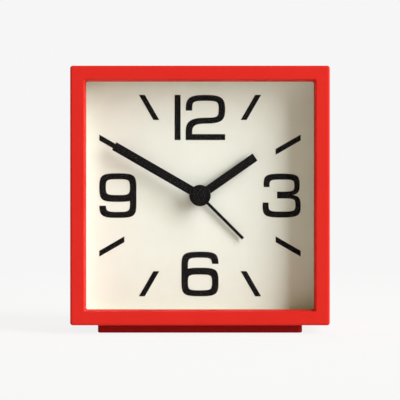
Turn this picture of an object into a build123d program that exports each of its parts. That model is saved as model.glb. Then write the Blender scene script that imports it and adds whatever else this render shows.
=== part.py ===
from build123d import *
import os
from math import acos, cos, pi, radians, sin, tan

# A square desk alarm clock with a quartz movement, in millimetres.
# The origin is the middle of the face it stands on, +Z is up and the dial looks along -Y.
# A depth is measured backwards from the front face. A place is (right, up) from the axis
# of the hands, as someone reading the dial sees it, and angles run anticlockwise there.

os.makedirs("parts", exist_ok=True)

# Case and front bezel
case_width = 90.0
case_height = 90.0
case_wall = 2.4
corner_radius = 0.9
edge_radius = 0.8
inner_radius = 1.2
rim_width = 4.8
opening_radius = 0.6
opening_edge = 0.3
bezel_lip = 3.8
lip_draft = 0.55
seam_edge = 0.2
bezel_depth = 9.0
lap_wall = 1.1
lap_gap = 0.1
snap_length = 14.0
snap_height = 0.9
snap_proud = 0.6
snap_gap = 0.15
fit_gap = 0.1
shelf_thickness = 2.0
window_gap = 1.0
window_radius = 2.0
post_radius = 2.5
post_height = 4.0
post_spacing = 36.0
boss_radius = 3.4
boss_inset = 3.2
boss_length = 12.0

# Foot and its pad
foot_width = 71.6
foot_depth = 34.0
foot_height = 3.1
foot_corner = 1.5
foot_edge = 0.3
pad_width = 62.0
pad_depth = 26.0
pad_corner = 3.0
pad_thickness = 1.2
pad_proud = 0.1
peg_radius = 2.0
peg_head_radius = 3.0
peg_head_height = 0.8
peg_spacing = 50.0

# Lens, spacer and dial
lens_thickness = 1.2
spacer_depth = 6.1
dial_thickness = 1.0
ink_thickness = 0.06
mark_margin = 4.65
mark_length = 8.85
mark_width = 1.8
numeral_height = 15.75
numeral_stroke = 2.1
upright_stroke = 2.3
waist_stroke = 2.4
hole_fullness_share = 0.92
one_gap = 1.8
twelve_height = 15.95
twelve_shift = -0.03
two_width = 13.95
two_bowl_height = 10.15
two_hook_length = 5.55
two_shoulder_height = 4.9
two_fullness_share = 0.8
shoulder_fullness_share = 0.74
three_width = 13.45
three_height = 15.5
three_upper_trim = 0.35
three_side_stroke = 1.9
three_upper_height = 7.55
three_waist_overlap = 0.45
three_bar_reach = 1.62
three_upper_hook = 4.75
three_lower_hook = 5.3
three_fullness_share = 0.86
nine_width = 13.1
nine_bowl_height = 10.1
nine_tail_height = 4.3
nine_fullness_share = 0.88

# Hands
minute_length = 34.7
minute_width = 3.15
hour_length = 23.6
hour_width = 3.05
alarm_length = 21.45
alarm_width = 1.05
hand_thickness = 0.5
hand_gap = 1.0
alarm_hand_gap = 0.9
minute_angle = 300
hour_angle = 55
alarm_angle = 135
alarm_hub_radius = 3.0
hour_hub_radius = 3.1
minute_hub_radius = 3.2
cap_radius = 3.76
cap_height = 1.2
cap_round = 0.5
cap_bite = 0.7

# Tubes, arbors and fits
minute_radius = 0.75
tube_wall = 0.65
bush_wall = 0.9
bush_proud = 0.5
running_gap = 0.05
press_gap = 0.01
hole_gap = 0.1
arbor_radius = 0.8
pivot_radius = 0.5
pivot_length = 1.0
shaft_radius = 1.25
end_play = 0.1

# Gears
gear_module = 0.4
tip_share = 0.75
root_share = 1.1
tooth_slack = 0.1
pressure_angle = 20
wheel_thickness = 1.2
layer_gap = 0.5
gear_layers = ("alarm", "hour", "motion", "center", "third", "second")
cannon_teeth = 15
motion_teeth = 45
motion_pinion_teeth = 12
hour_teeth = cannon_teeth + motion_teeth - motion_pinion_teeth
set_teeth = 12
alarm_teeth = 48
alarm_set_teeth = 32
center_teeth = 60
third_pinion_teeth = 12
third_teeth = 54
second_pinion_teeth = 12
second_teeth = 48
rotor_teeth = 12
motion_bearing = -58
set_bearing = 35
alarm_set_bearing = 193
third_bearing = 120
second_bearing = 20
rotor_bearing = -10
clutch_radius = 2.2
clutch_thickness = 0.3

# Motor
magnet_radius = 2.6
magnet_gap = 0.4
stator_ring = 2.2
stator_thickness = 1.2
arm_width = 2.4
arm_offset = 3.6
coil_offset = 9.4
core_width = 2.2
core_gap = 0.05
coil_boss_gap = 1.4
bobbin_wall = 0.5
bobbin_flange = 0.8
flange_radius = 3.3
coil_radius = 2.9
coil_gap = 0.4
stator_post_radius = 1.1

# Movement housing
housing_wall = 1.6
housing_corner = 2.0
room_gap = 1.0
plate_thickness = 1.6
ear_thickness = 1.8
ear_radius = 2.1
housing_boss_radius = 2.4
housing_boss_inset = 3.6
contact_gap = 0.7
contact_thickness = 0.4
contact_tip_length = 2.0
contact_length = 11.0
contact_post_width = 3.0
contact_bearing = 225

# Battery, its tray and its contacts
battery_radius = 7.1
battery_length = 49.2
battery_round = 0.6
nub_radius = 2.7
nub_length = 1.3
tray_gap = 0.4
bay_gap = 0.5
tray_wall = 1.4
tray_floor_gap = 0.4
spring_room = 2.6
plate_height = 10.0
plate_width = 8.0
tail_width = 2.0
tail_rise = 3.5
tail_gap = 0.2
tongue_height = 4.0
tongue_tip = 1.0
tongue_width = 5.0

# Circuit board and what it carries
standoff_height = 1.8
standoff_radius = 2.0
standoff_width = 40.0
standoff_span = 30.0
stake_radius = 0.8
stake_proud = 0.4
board_thickness = 1.2
board_margin = 1.0
board_side = 2.0
shaft_room = 0.6
buzzer_radius = 6.0
buzzer_height = 7.0
buzzer_rise = 10.5
buzzer_port = 1.2
buzzer_edge = 0.5
chip_size = 7.0
chip_height = 1.2
chip_corner = 0.5
chip_edge = 0.3
chip_place = (15.0, 12.0)
crystal_radius = 1.0
crystal_length = 6.0
crystal_place = (-13.0, 12.0)
switch_size = 6.0
switch_height = 3.4
plunger_radius = 1.6
plunger_proud = 1.5
plunger_seat = 1.0

# Rear cover with its controls
cover_thickness = 2.6
cover_inset = 2.0
cover_radius = 1.0
cover_edge = 0.4
snooze_rise = 26.0
snooze_width = 32.0
snooze_height = 8.0
snooze_corner = 2.5
snooze_proud = 1.5
snooze_edge = 0.5
snooze_travel = 1.0
snooze_gap = 0.3
snooze_flange = 1.6
snooze_flange_thickness = 1.2
snooze_stem_radius = 1.8
grille_slots = 5
grille_length = 13.0
grille_width = 1.2
grille_pitch = 2.5
slider_drop = 9.5
slider_travel = 4.0
thumb_width = 6.0
thumb_height = 5.0
thumb_proud = 1.8
thumb_ribs = 3
thumb_rib_width = 0.6
thumb_rib_depth = 0.5
neck_width = 3.6
neck_height = 2.4
slot_gap = 0.2
slider_flange_width = 13.0
slider_flange_height = 6.0
slider_flange_thickness = 1.0
slider_stem = 3.0
wiper_thickness = 0.3
wiper_gap = 0.1
wiper_length = 5.0
wiper_width = 2.0
knob_radius = 6.5
knob_height = 5.0
knob_gap = 0.6
knob_bite = 3.4
knob_flutes = 24
flute_radius = 0.55
knob_edge = 0.4
dish_radius = 4.6
dish_depth = 0.6
knob_hole_gap = 0.5
door_thickness = 1.6
door_gap = 0.15
door_ledge = 1.6
pin_radius = 0.45
pin_length = 1.0
notch_radius = 4.5
notch_depth = 1.0

# Screws
thread_radius = 1.0
head_radius = 1.9
head_height = 1.2
drive_width = 0.5
drive_length = 2.4
drive_depth = 0.6
thread_gap = 0.03
head_gap = 0.15
head_recess = 0.2
screw_length = 7.0
pilot_depth = 7.6
post_screw_length = 5.0
post_pilot_depth = 3.6

# Sizes that follow from the ones above
inner_width = case_width - 2 * case_wall
inner_height = case_height - 2 * case_wall
opening_width = case_width - 2 * rim_width
opening_height = case_height - 2 * rim_width
sight_width = opening_width - 2 * lip_draft
sight_height = opening_height - 2 * lip_draft
lap_width = case_width - 2 * lap_wall
lap_height = case_height - 2 * lap_wall
fit_width = inner_width - 2 * fit_gap
fit_height = inner_height - 2 * fit_gap
fit_radius = inner_radius - fit_gap
axis_height = foot_height + case_height / 2

lens_back = bezel_lip + lens_thickness
dial_front = lens_back + spacer_depth
dial_back = dial_front + dial_thickness
shelf_back = dial_back + shelf_thickness
tongue_end = dial_back - fit_gap
alarm_hand_back = dial_front - alarm_hand_gap
alarm_hand_front = alarm_hand_back - hand_thickness
hour_hand_back = alarm_hand_front - hand_gap
hour_hand_front = hour_hand_back - hand_thickness
minute_hand_back = hour_hand_front - hand_gap
minute_hand_front = minute_hand_back - hand_thickness

hour_bore = minute_radius + running_gap
hour_tube = hour_bore + tube_wall
alarm_bore = hour_tube + running_gap
alarm_tube = alarm_bore + tube_wall
bush_bore = alarm_tube + running_gap
bush_radius = bush_bore + bush_wall
bush_front = dial_front - bush_proud

room_front = dial_back + housing_wall
layer_pitch = wheel_thickness + layer_gap
plate_front = room_front + layer_gap + len(gear_layers) * layer_pitch
plate_back = plate_front + plate_thickness
board_front = plate_back + standoff_height
board_back = board_front + board_thickness
battery_depth = plate_back + bay_gap + battery_radius
cover_front = battery_depth + battery_radius + bay_gap
cover_back = cover_front + cover_thickness
case_depth = cover_back + cover_inset
knob_front = cover_back + knob_gap


def layer_back(layer):
    return room_front + (gear_layers.index(layer) + 1) * layer_pitch


def facing(depth, place=(0, 0)):
    right, up = place
    corner = (right, depth - case_depth / 2, axis_height + up)
    return Plane(origin=corner, x_dir=(1, 0, 0), z_dir=(0, -1, 0))


def sideways(right, depth, up):
    corner = (right, depth - case_depth / 2, axis_height + up)
    return Plane(origin=corner, x_dir=(0, 1, 0), z_dir=(1, 0, 0))


def polar(distance, bearing, start=(0, 0)):
    turn = radians(bearing)
    return start[0] + distance * cos(turn), start[1] + distance * sin(turn)


def pitch_radius(teeth):
    return gear_module * teeth / 2


def tip_radius(teeth):
    return pitch_radius(teeth) + tip_share * gear_module


def center_distance(teeth, other_teeth):
    return pitch_radius(teeth) + pitch_radius(other_teeth)


# Turn of a gear that lies along a bearing from another, so that its gap meets the other's tooth
def meshed_turn(teeth, turn, bearing, own_teeth):
    phase = (bearing - turn) * teeth / 360
    return bearing + 180 - (0.5 - phase) * 360 / own_teeth


# Outline of a gear with short teeth, each flank drawn through its root, pitch and tip
def gear_face(teeth, turn):
    radius = pitch_radius(teeth)
    base = radius * cos(radians(pressure_angle))
    lean = tan(radians(pressure_angle)) - radians(pressure_angle)
    half_tooth = (pi * gear_module / 2 - tooth_slack) / (2 * radius)
    flank = (radius - root_share * gear_module, radius, tip_radius(teeth))
    points = []
    for tooth in range(teeth):
        middle = radians(turn) + 2 * pi * tooth / teeth
        for side, radii in ((-1, flank), (1, flank[::-1])):
            for reach in radii:
                slope = acos(min(1, base / reach))
                angle = middle + side * (half_tooth + lean - tan(slope) + slope)
                points.append((reach * cos(angle), reach * sin(angle)))
    with BuildSketch() as outline:
        with BuildLine():
            Polyline(*points, close=True)
        make_face()
    return outline.sketch


# Places of the wheels
motion_place = polar(center_distance(cannon_teeth, motion_teeth), motion_bearing)
set_place = polar(center_distance(motion_teeth, set_teeth), set_bearing, motion_place)
alarm_set_place = polar(center_distance(alarm_teeth, alarm_set_teeth), alarm_set_bearing)
third_place = polar(center_distance(center_teeth, third_pinion_teeth), third_bearing)
second_place = polar(center_distance(third_teeth, second_pinion_teeth), second_bearing, third_place)
rotor_place = polar(center_distance(second_teeth, rotor_teeth), rotor_bearing, second_place)
pivot_places = (third_place, second_place, rotor_place)
shaft_places = (set_place, alarm_set_place)

# Turns that bring every pair of wheels into mesh
motion_turn = meshed_turn(cannon_teeth, 0, motion_bearing, motion_teeth)
hour_turn = meshed_turn(motion_pinion_teeth, motion_turn, motion_bearing + 180, hour_teeth)
set_turn = meshed_turn(motion_teeth, motion_turn, set_bearing, set_teeth)
alarm_set_turn = meshed_turn(alarm_teeth, 0, alarm_set_bearing, alarm_set_teeth)
third_turn = meshed_turn(center_teeth, 0, third_bearing, third_pinion_teeth)
second_turn = meshed_turn(third_teeth, third_turn, second_bearing, second_pinion_teeth)
rotor_turn = meshed_turn(second_teeth, second_turn, rotor_bearing, rotor_teeth)

# Motor, movement and battery outlines
coil_right = rotor_place[0] + coil_offset
stator_front = layer_back("center") + layer_gap / 2 - stator_thickness / 2
stator_back = stator_front + stator_thickness
stator_middle = (stator_front + stator_back) / 2
arm_right = rotor_place[0] + arm_offset
housing_left = alarm_set_place[0] - tip_radius(alarm_set_teeth) - room_gap - housing_wall
housing_right = coil_right + flange_radius + room_gap + housing_wall
housing_top = second_place[1] + tip_radius(second_teeth) + room_gap + housing_wall
housing_bottom = motion_place[1] - tip_radius(motion_teeth) - room_gap - housing_wall
housing_width = housing_right - housing_left
housing_height = housing_top - housing_bottom
housing_middle = ((housing_left + housing_right) / 2, (housing_top + housing_bottom) / 2)
room_width = housing_width - 2 * housing_wall
room_height = housing_height - 2 * housing_wall
window_half_width = max(housing_right, -housing_left) + window_gap
window_half_height = max(housing_top, -housing_bottom) + window_gap
post_up = (window_half_height + inner_height / 2) / 2
ear_front = shelf_back + post_height
ear_back = ear_front + ear_thickness

bay_length = battery_length + nub_length + contact_thickness + spring_room
bay_right = bay_length / 2
bay_height = 2 * battery_radius + 2 * bay_gap
tray_length = bay_length + 2 * tray_wall
tray_height = bay_height + 2 * tray_wall
tray_floor = peg_head_height + tray_floor_gap - inner_height / 2
screw_floor = housing_bottom + housing_boss_inset - head_radius - tray_gap
tray_top = max(screw_floor, tray_floor + tray_height)
battery_drop = tray_height / 2 - tray_top
bay_place = (0, -battery_drop)
tray_back = cover_front - fit_gap
battery_left = bay_right - contact_thickness - nub_length - battery_length
board_top = housing_top - board_margin
board_bottom = tray_top + board_margin
board_width = bay_length + 2 * board_side
board_height = board_top - board_bottom
board_middle = (0, (board_top + board_bottom) / 2)
boss_width = inner_width - 2 * boss_inset
boss_height = inner_height - 2 * boss_inset
switch_back = board_back + switch_height
plunger_back = switch_back + plunger_proud
slider_right = -slider_travel / 2
housing_boss_low = tray_top + tray_gap + head_radius
housing_boss_width = housing_width - 2 * housing_boss_inset
housing_boss_height = housing_top - housing_boss_inset - housing_boss_low
housing_boss_middle = (housing_middle[0], housing_boss_low + housing_boss_height / 2)
core_top = rotor_place[1] - arm_width / 2
core_bottom = housing_boss_low + housing_boss_radius + coil_boss_gap + arm_width
core_length = core_top - core_bottom
door_width = bay_length + 2 * door_ledge
door_height = bay_height + 2 * door_ledge
hinge_depth = cover_back - door_thickness / 2
hinge_up = -battery_drop - door_height / 2 + door_gap + door_thickness / 2


def finish(piece, name):
    piece.label = name
    export_step(piece, f"parts/{name}.step")


# Screws whose heads lie on the back of a plane and whose threads enter along its normal
def screw_set(plane, places, length):
    with BuildPart() as screws:
        with BuildSketch(plane):
            with Locations(*places):
                Circle(head_radius)
        extrude(amount=-head_height)
        with BuildSketch(plane):
            with Locations(*places):
                Circle(thread_radius)
        extrude(amount=length)
        with BuildSketch(plane.offset(-head_height)):
            with Locations(*places):
                Rectangle(drive_length, drive_width)
                Rectangle(drive_width, drive_length)
        extrude(amount=drive_depth, mode=Mode.SUBTRACT)
    return screws.part


def corners(width, height, middle=(0, 0)):
    return [(middle[0] + side * width / 2, middle[1] + rise * height / 2)
            for side in (-1, 1) for rise in (-1, 1)]


cover_screw_places = corners(boss_width, boss_height)
post_places = corners(post_spacing, 2 * post_up)
housing_screw_places = corners(housing_boss_width, housing_boss_height, housing_boss_middle)
standoff_places = corners(standoff_width, standoff_span, board_middle)

# Front bezel: rim, skirt and the tongue that snaps into the case
with BuildPart() as front_bezel:
    with BuildSketch(facing(bezel_depth)):
        RectangleRounded(case_width, case_height, corner_radius)
    extrude(amount=bezel_depth)
    fillet(front_bezel.faces().sort_by(Axis.Y)[0].edges(), edge_radius)
    chamfer(front_bezel.faces().sort_by(Axis.Y)[-1].edges(), seam_edge)
    with BuildSketch(facing(tongue_end)):
        RectangleRounded(lap_width - 2 * lap_gap, lap_height - 2 * lap_gap, inner_radius)
    extrude(amount=tongue_end - bezel_depth)
    with BuildSketch(facing(tongue_end)):
        RectangleRounded(inner_width, inner_height, inner_radius)
    extrude(amount=tongue_end - bezel_lip, mode=Mode.SUBTRACT)
    with BuildSketch(facing(bezel_lip)):
        RectangleRounded(sight_width, sight_height, opening_radius)
    with BuildSketch(facing(0)):
        RectangleRounded(opening_width, opening_height, opening_radius)
    loft(ruled=True, mode=Mode.SUBTRACT)
    fillet(front_bezel.faces().sort_by(Axis.Y)[0].inner_wires()[0].edges(), opening_edge)
    with BuildSketch(facing((bezel_depth + tongue_end) / 2 + snap_height / 2 + snap_gap)):
        Rectangle(case_width, snap_length + 2 * snap_gap)
        Rectangle(snap_length + 2 * snap_gap, case_height)
    extrude(amount=snap_height + 2 * snap_gap, mode=Mode.SUBTRACT)
finish(front_bezel.part, "front_bezel")

# Case body: tube with a shelf behind the dial, bosses for the rear cover and posts for the movement
with BuildPart() as case_body:
    with BuildSketch(facing(case_depth)):
        RectangleRounded(case_width, case_height, corner_radius)
    extrude(amount=case_depth - bezel_depth)
    fillet(case_body.faces().sort_by(Axis.Y)[-1].edges(), edge_radius)
    chamfer(case_body.faces().sort_by(Axis.Y)[0].edges(), seam_edge)
    with BuildSketch(facing(case_depth)):
        RectangleRounded(inner_width, inner_height, inner_radius)
    extrude(amount=case_depth - shelf_back, mode=Mode.SUBTRACT)
    with BuildSketch(facing(shelf_back)):
        RectangleRounded(2 * window_half_width, 2 * window_half_height, window_radius)
    extrude(amount=shelf_thickness, mode=Mode.SUBTRACT)
    with BuildSketch(facing(dial_back)):
        RectangleRounded(lap_width, lap_height, inner_radius)
    extrude(amount=dial_back - bezel_depth, mode=Mode.SUBTRACT)
    with BuildSketch(facing((bezel_depth + tongue_end) / 2 + snap_height / 2)):
        Rectangle(lap_width, snap_length)
        Rectangle(snap_length, lap_height)
        Rectangle(lap_width - 2 * snap_proud, lap_height - 2 * snap_proud, mode=Mode.SUBTRACT)
    extrude(amount=snap_height)
    with BuildSketch(facing(cover_front)):
        with Locations(*cover_screw_places):
            Circle(boss_radius)
    extrude(amount=boss_length)
    with BuildSketch(facing(cover_front)):
        with Locations(*cover_screw_places):
            Circle(thread_radius + thread_gap)
    extrude(amount=pilot_depth, mode=Mode.SUBTRACT)
    with BuildSketch(facing(ear_front)):
        with Locations(*post_places):
            Circle(post_radius)
    extrude(amount=post_height)
    with BuildSketch(facing(ear_front)):
        with Locations(*post_places):
            Circle(thread_radius + thread_gap)
    extrude(amount=post_pilot_depth, mode=Mode.SUBTRACT)
    with BuildSketch(Plane.XY.offset(foot_height)):
        with GridLocations(peg_spacing, 0, 2, 1):
            Circle(peg_radius + running_gap)
    extrude(amount=case_wall, mode=Mode.SUBTRACT)
finish(case_body.part, "case_body")

# Foot, held by two pegs whose heads are formed inside the case
with BuildPart() as base_foot:
    with BuildSketch(Plane.XY.offset(pad_proud)):
        RectangleRounded(foot_width, foot_depth, foot_corner)
    extrude(amount=foot_height - pad_proud)
    chamfer(base_foot.faces().sort_by(Axis.Z)[0].edges(), foot_edge)
    with BuildSketch(Plane.XY.offset(pad_proud)):
        RectangleRounded(pad_width + 2 * fit_gap, pad_depth + 2 * fit_gap, pad_corner + fit_gap)
    extrude(amount=pad_thickness - pad_proud, mode=Mode.SUBTRACT)
    with BuildSketch(Plane.XY.offset(foot_height)):
        with GridLocations(peg_spacing, 0, 2, 1):
            Circle(peg_radius)
    extrude(amount=case_wall)
    with BuildSketch(Plane.XY.offset(foot_height + case_wall)):
        with GridLocations(peg_spacing, 0, 2, 1):
            Circle(peg_head_radius)
    extrude(amount=peg_head_height)
finish(base_foot.part, "base_foot")

with BuildPart() as foot_pad:
    with BuildSketch():
        RectangleRounded(pad_width, pad_depth, pad_corner)
    extrude(amount=pad_thickness)
finish(foot_pad.part, "foot_pad")

# Lens, spacer and dial stacked between the bezel's lip and the shelf
with BuildPart() as lens:
    with BuildSketch(facing(lens_back)):
        RectangleRounded(fit_width, fit_height, fit_radius)
    extrude(amount=lens_thickness)
finish(lens.part, "lens")

with BuildPart() as dial_spacer:
    with BuildSketch(facing(dial_front)):
        RectangleRounded(fit_width, fit_height, fit_radius)
        RectangleRounded(opening_width, opening_height, opening_radius, mode=Mode.SUBTRACT)
    extrude(amount=spacer_depth)
finish(dial_spacer.part, "dial_spacer")

with BuildPart() as dial_plate:
    with BuildSketch(facing(dial_back)):
        RectangleRounded(fit_width, fit_height, fit_radius)
        Circle(bush_radius + hole_gap, mode=Mode.SUBTRACT)
    extrude(amount=dial_thickness)
finish(dial_plate.part, "dial_plate")


# Oval with flattened sides, the shape of the bowls of the numerals
def bowl(width, height, fullness_share):
    across = width / 2
    up = height / 2
    near_across = fullness_share * across
    near_up = fullness_share * up
    with BuildSketch() as oval:
        with BuildLine():
            Bezier((across, 0), (across, near_up), (near_across, up), (0, up))
            Bezier((0, up), (-near_across, up), (-across, near_up), (-across, 0))
            Bezier((-across, 0), (-across, -near_up), (-near_across, -up), (0, -up))
            Bezier((0, -up), (near_across, -up), (across, -near_up), (across, 0))
        make_face()
    return oval.sketch


# Numeral nine about the middle of its box: a closed bowl over an open one, joined by an upright
def numeral_nine():
    bowl_up = (numeral_height - nine_bowl_height) / 2
    hole_width = nine_width - 2 * upright_stroke
    hole_up = bowl_up + (waist_stroke - numeral_stroke) / 2
    hole_height = nine_bowl_height - numeral_stroke - waist_stroke
    with BuildSketch() as nine:
        with Locations((0, -bowl_up)):
            add(bowl(nine_width, nine_bowl_height, nine_fullness_share))
            add(bowl(hole_width, nine_bowl_height - 2 * numeral_stroke, hole_fullness_share),
                mode=Mode.SUBTRACT)
        with Locations((-nine_width / 2, nine_tail_height - numeral_height / 2)):
            Rectangle(nine_width - upright_stroke, numeral_height,
                      align=(Align.MIN, Align.MIN), mode=Mode.SUBTRACT)
        with Locations((nine_width / 2, 0)):
            Rectangle(upright_stroke, 2 * bowl_up, align=(Align.MAX, Align.CENTER))
        with Locations((0, bowl_up)):
            add(bowl(nine_width, nine_bowl_height, nine_fullness_share))
        with Locations((0, hole_up)):
            add(bowl(hole_width, hole_height, hole_fullness_share), mode=Mode.SUBTRACT)
    return nine.sketch


# Numeral three: two open bowls that meet at a bar
def numeral_three():
    top = three_height / 2
    waist = top - three_upper_height
    upper_low = waist - three_waist_overlap / 2
    lower_high = waist + three_waist_overlap / 2
    bar_top = waist + waist_stroke / 2
    bar_low = waist - waist_stroke / 2
    upper_width = three_width - 2 * three_upper_trim
    upper_hole_width = upper_width - numeral_stroke - three_side_stroke
    lower_hole_width = three_width - numeral_stroke - three_side_stroke
    hole_right = (numeral_stroke - three_side_stroke) / 2
    upper_hole_height = top - numeral_stroke - bar_top
    lower_hole_height = bar_low + top - numeral_stroke
    share = three_fullness_share
    with BuildSketch() as three:
        with Locations((0, (top + upper_low) / 2)):
            add(bowl(upper_width, top - upper_low, share))
        with Locations((0, (lower_high - top) / 2)):
            add(bowl(three_width, lower_high + top, share))
        with Locations((0, waist)):
            Rectangle(2 * three_bar_reach, waist_stroke)
        with Locations((hole_right, bar_top + upper_hole_height / 2)):
            add(bowl(upper_hole_width, upper_hole_height, hole_fullness_share), mode=Mode.SUBTRACT)
        with Locations((hole_right, bar_low - lower_hole_height / 2)):
            add(bowl(lower_hole_width, lower_hole_height, hole_fullness_share), mode=Mode.SUBTRACT)
        with Locations((-three_bar_reach, top - three_upper_hook)):
            Rectangle(three_width, three_height - three_upper_hook - three_lower_hook,
                      align=(Align.MAX, Align.MAX), mode=Mode.SUBTRACT)
    return three.sketch


# Numeral two: an open bowl, a shoulder that turns down to the left and a straight foot
def numeral_two():
    top = twelve_height / 2
    bowl_low = top - two_bowl_height
    shoulder_low = bowl_low + numeral_stroke - two_shoulder_height
    hole_width = two_width - 2 * upright_stroke
    hole_rise = two_shoulder_height - numeral_stroke
    with BuildSketch() as shoulder:
        add(bowl(two_width, 2 * two_shoulder_height, shoulder_fullness_share))
        add(bowl(hole_width, 2 * hole_rise, shoulder_fullness_share), mode=Mode.SUBTRACT)
        Rectangle(two_width / 2, two_shoulder_height, align=(Align.MAX, Align.MIN), mode=Mode.INTERSECT)
    with BuildSketch() as two:
        with Locations((0, top - two_bowl_height / 2)):
            add(bowl(two_width, two_bowl_height, two_fullness_share))
            add(bowl(hole_width, two_bowl_height - 2 * numeral_stroke, hole_fullness_share),
                mode=Mode.SUBTRACT)
        with Locations((0, top - two_hook_length)):
            Rectangle(two_width / 2, two_bowl_height, align=(Align.MAX, Align.MAX), mode=Mode.SUBTRACT)
        with Locations((0, shoulder_low)):
            add(shoulder.sketch)
        with Locations((-two_width / 2, -top)):
            Rectangle(upright_stroke, top + shoulder_low, align=(Align.MIN, Align.MIN))
            Rectangle(two_width, numeral_stroke, align=(Align.MIN, Align.MIN))
    return two.sketch


# Bar of one hour, cut off square with the dial's sides
def hour_bar(hour, reach):
    turn = radians(90 - 30 * hour)
    along = (cos(turn), sin(turn))
    upright = abs(along[1]) > abs(along[0])
    steep = max(abs(along[0]), abs(along[1]))
    half_cut = mark_width / (2 * steep)
    side = (half_cut, 0) if upright else (0, half_cut)
    points = []
    for distance, way in ((reach - mark_length, -1), (reach - mark_length, 1), (reach, 1), (reach, -1)):
        points.append((along[0] * distance / steep + way * side[0],
                       along[1] * distance / steep + way * side[1]))
    return points


# Printed markings: bars, numerals and their places inside the opening
reach_right = opening_width / 2 - mark_margin
reach_up = opening_height / 2 - mark_margin
twelve_width = numeral_stroke + one_gap + two_width
with BuildPart() as dial_markings:
    with BuildSketch(facing(dial_front)):
        for hour in (1, 5, 7, 11):
            Polygon(*hour_bar(hour, reach_up), align=None)
        for hour in (2, 4, 8, 10):
            Polygon(*hour_bar(hour, reach_right), align=None)
        with Locations((twelve_shift - twelve_width / 2, reach_up)):
            Rectangle(numeral_stroke, twelve_height, align=(Align.MIN, Align.MAX))
        with Locations((twelve_shift + twelve_width / 2 - two_width / 2, reach_up - twelve_height / 2)):
            add(numeral_two())
        with Locations((reach_right - three_width / 2, 0)):
            add(numeral_three())
        with Locations((0, numeral_height / 2 - reach_up)):
            add(numeral_nine(), rotation=180)
        with Locations((nine_width / 2 - reach_right, 0)):
            add(numeral_nine())
    extrude(amount=ink_thickness)
finish(dial_markings.part, "dial_markings")


# Flat hand with a square end and a hub that is pressed on a tube
def hand(depth, length, width, angle, hub_radius, tube):
    with BuildPart() as blade:
        with BuildSketch(facing(depth)):
            Rectangle(width, length, rotation=-angle, align=(Align.CENTER, Align.MIN))
            Circle(hub_radius)
            Circle(tube + press_gap, mode=Mode.SUBTRACT)
        extrude(amount=hand_thickness)
    return blade.part


finish(hand(alarm_hand_back, alarm_length, alarm_width, alarm_angle, alarm_hub_radius, alarm_tube),
       "alarm_hand")
finish(hand(hour_hand_back, hour_length, hour_width, hour_angle, hour_hub_radius, hour_tube), "hour_hand")
finish(hand(minute_hand_back, minute_length, minute_width, minute_angle, minute_hub_radius, minute_radius),
       "minute_hand")

with BuildPart() as hand_cap:
    with BuildSketch(facing(minute_hand_front)):
        Circle(cap_radius)
    extrude(amount=cap_height)
    fillet(hand_cap.faces().sort_by(Axis.Y)[0].edges(), cap_round)
    with BuildSketch(facing(minute_hand_front)):
        Circle(minute_radius + press_gap)
    extrude(amount=cap_bite, mode=Mode.SUBTRACT)
finish(hand_cap.part, "hand_cap")

# Movement front: open gear room with the bush for the hands, bearings, ears and posts
contact_middle = polar(tip_radius(hour_teeth) + contact_gap, contact_bearing)
contact_reach = contact_length - contact_tip_length - contact_post_width / 2
contact_root = polar(contact_reach, contact_bearing + 90, contact_middle)
contact_post_place = polar(contact_thickness + contact_post_width / 2, contact_bearing, contact_root)
stator_posts = ((coil_right, rotor_place[1]), (arm_right, core_bottom - arm_width / 2))
with BuildPart() as movement_front:
    with BuildSketch(facing(plate_front)):
        with Locations(housing_middle):
            RectangleRounded(housing_width, housing_height, housing_corner)
    extrude(amount=plate_front - dial_back)
    with BuildSketch(facing(ear_back)):
        with GridLocations(post_spacing, 0, 2, 1):
            RectangleRounded(2 * ear_radius, 2 * post_up + 2 * ear_radius, ear_radius - fit_gap)
    extrude(amount=ear_thickness)
    with BuildSketch(facing(plate_front)):
        with Locations(housing_middle):
            Rectangle(room_width, room_height)
    extrude(amount=plate_front - room_front, mode=Mode.SUBTRACT)
    with BuildSketch(facing(plate_front)):
        with Locations(*housing_screw_places):
            Circle(housing_boss_radius)
    extrude(amount=plate_front - room_front)
    with BuildSketch(facing(plate_front)):
        with Locations(*housing_screw_places):
            Circle(thread_radius + thread_gap)
    extrude(amount=pilot_depth, mode=Mode.SUBTRACT)
    with BuildSketch(facing(stator_front)):
        with Locations(*stator_posts):
            Circle(stator_post_radius)
    extrude(amount=stator_front - room_front)
    with BuildSketch(facing(layer_back("motion") + layer_gap / 2)):
        with Locations(motion_place):
            Circle(arbor_radius)
    extrude(amount=layer_back("motion") + layer_gap / 2 - room_front)
    with BuildSketch(facing(layer_back("hour"))):
        with Locations(contact_post_place):
            Rectangle(contact_post_width, contact_post_width, rotation=contact_bearing)
    extrude(amount=layer_back("hour") - room_front)
    with BuildSketch(facing(room_front)):
        Circle(bush_radius)
    extrude(amount=room_front - bush_front)
    with BuildSketch(facing(room_front)):
        Circle(bush_bore)
    extrude(amount=room_front - bush_front, mode=Mode.SUBTRACT)
    with BuildSketch(facing(room_front)):
        with Locations(*pivot_places, *shaft_places):
            Circle(pivot_radius + running_gap)
    extrude(amount=pivot_length + end_play, mode=Mode.SUBTRACT)
    with BuildSketch(facing(ear_back)):
        with Locations(*post_places):
            Circle(thread_radius + thread_gap)
    extrude(amount=ear_thickness, mode=Mode.SUBTRACT)
finish(movement_front.part, "movement_front")

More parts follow.
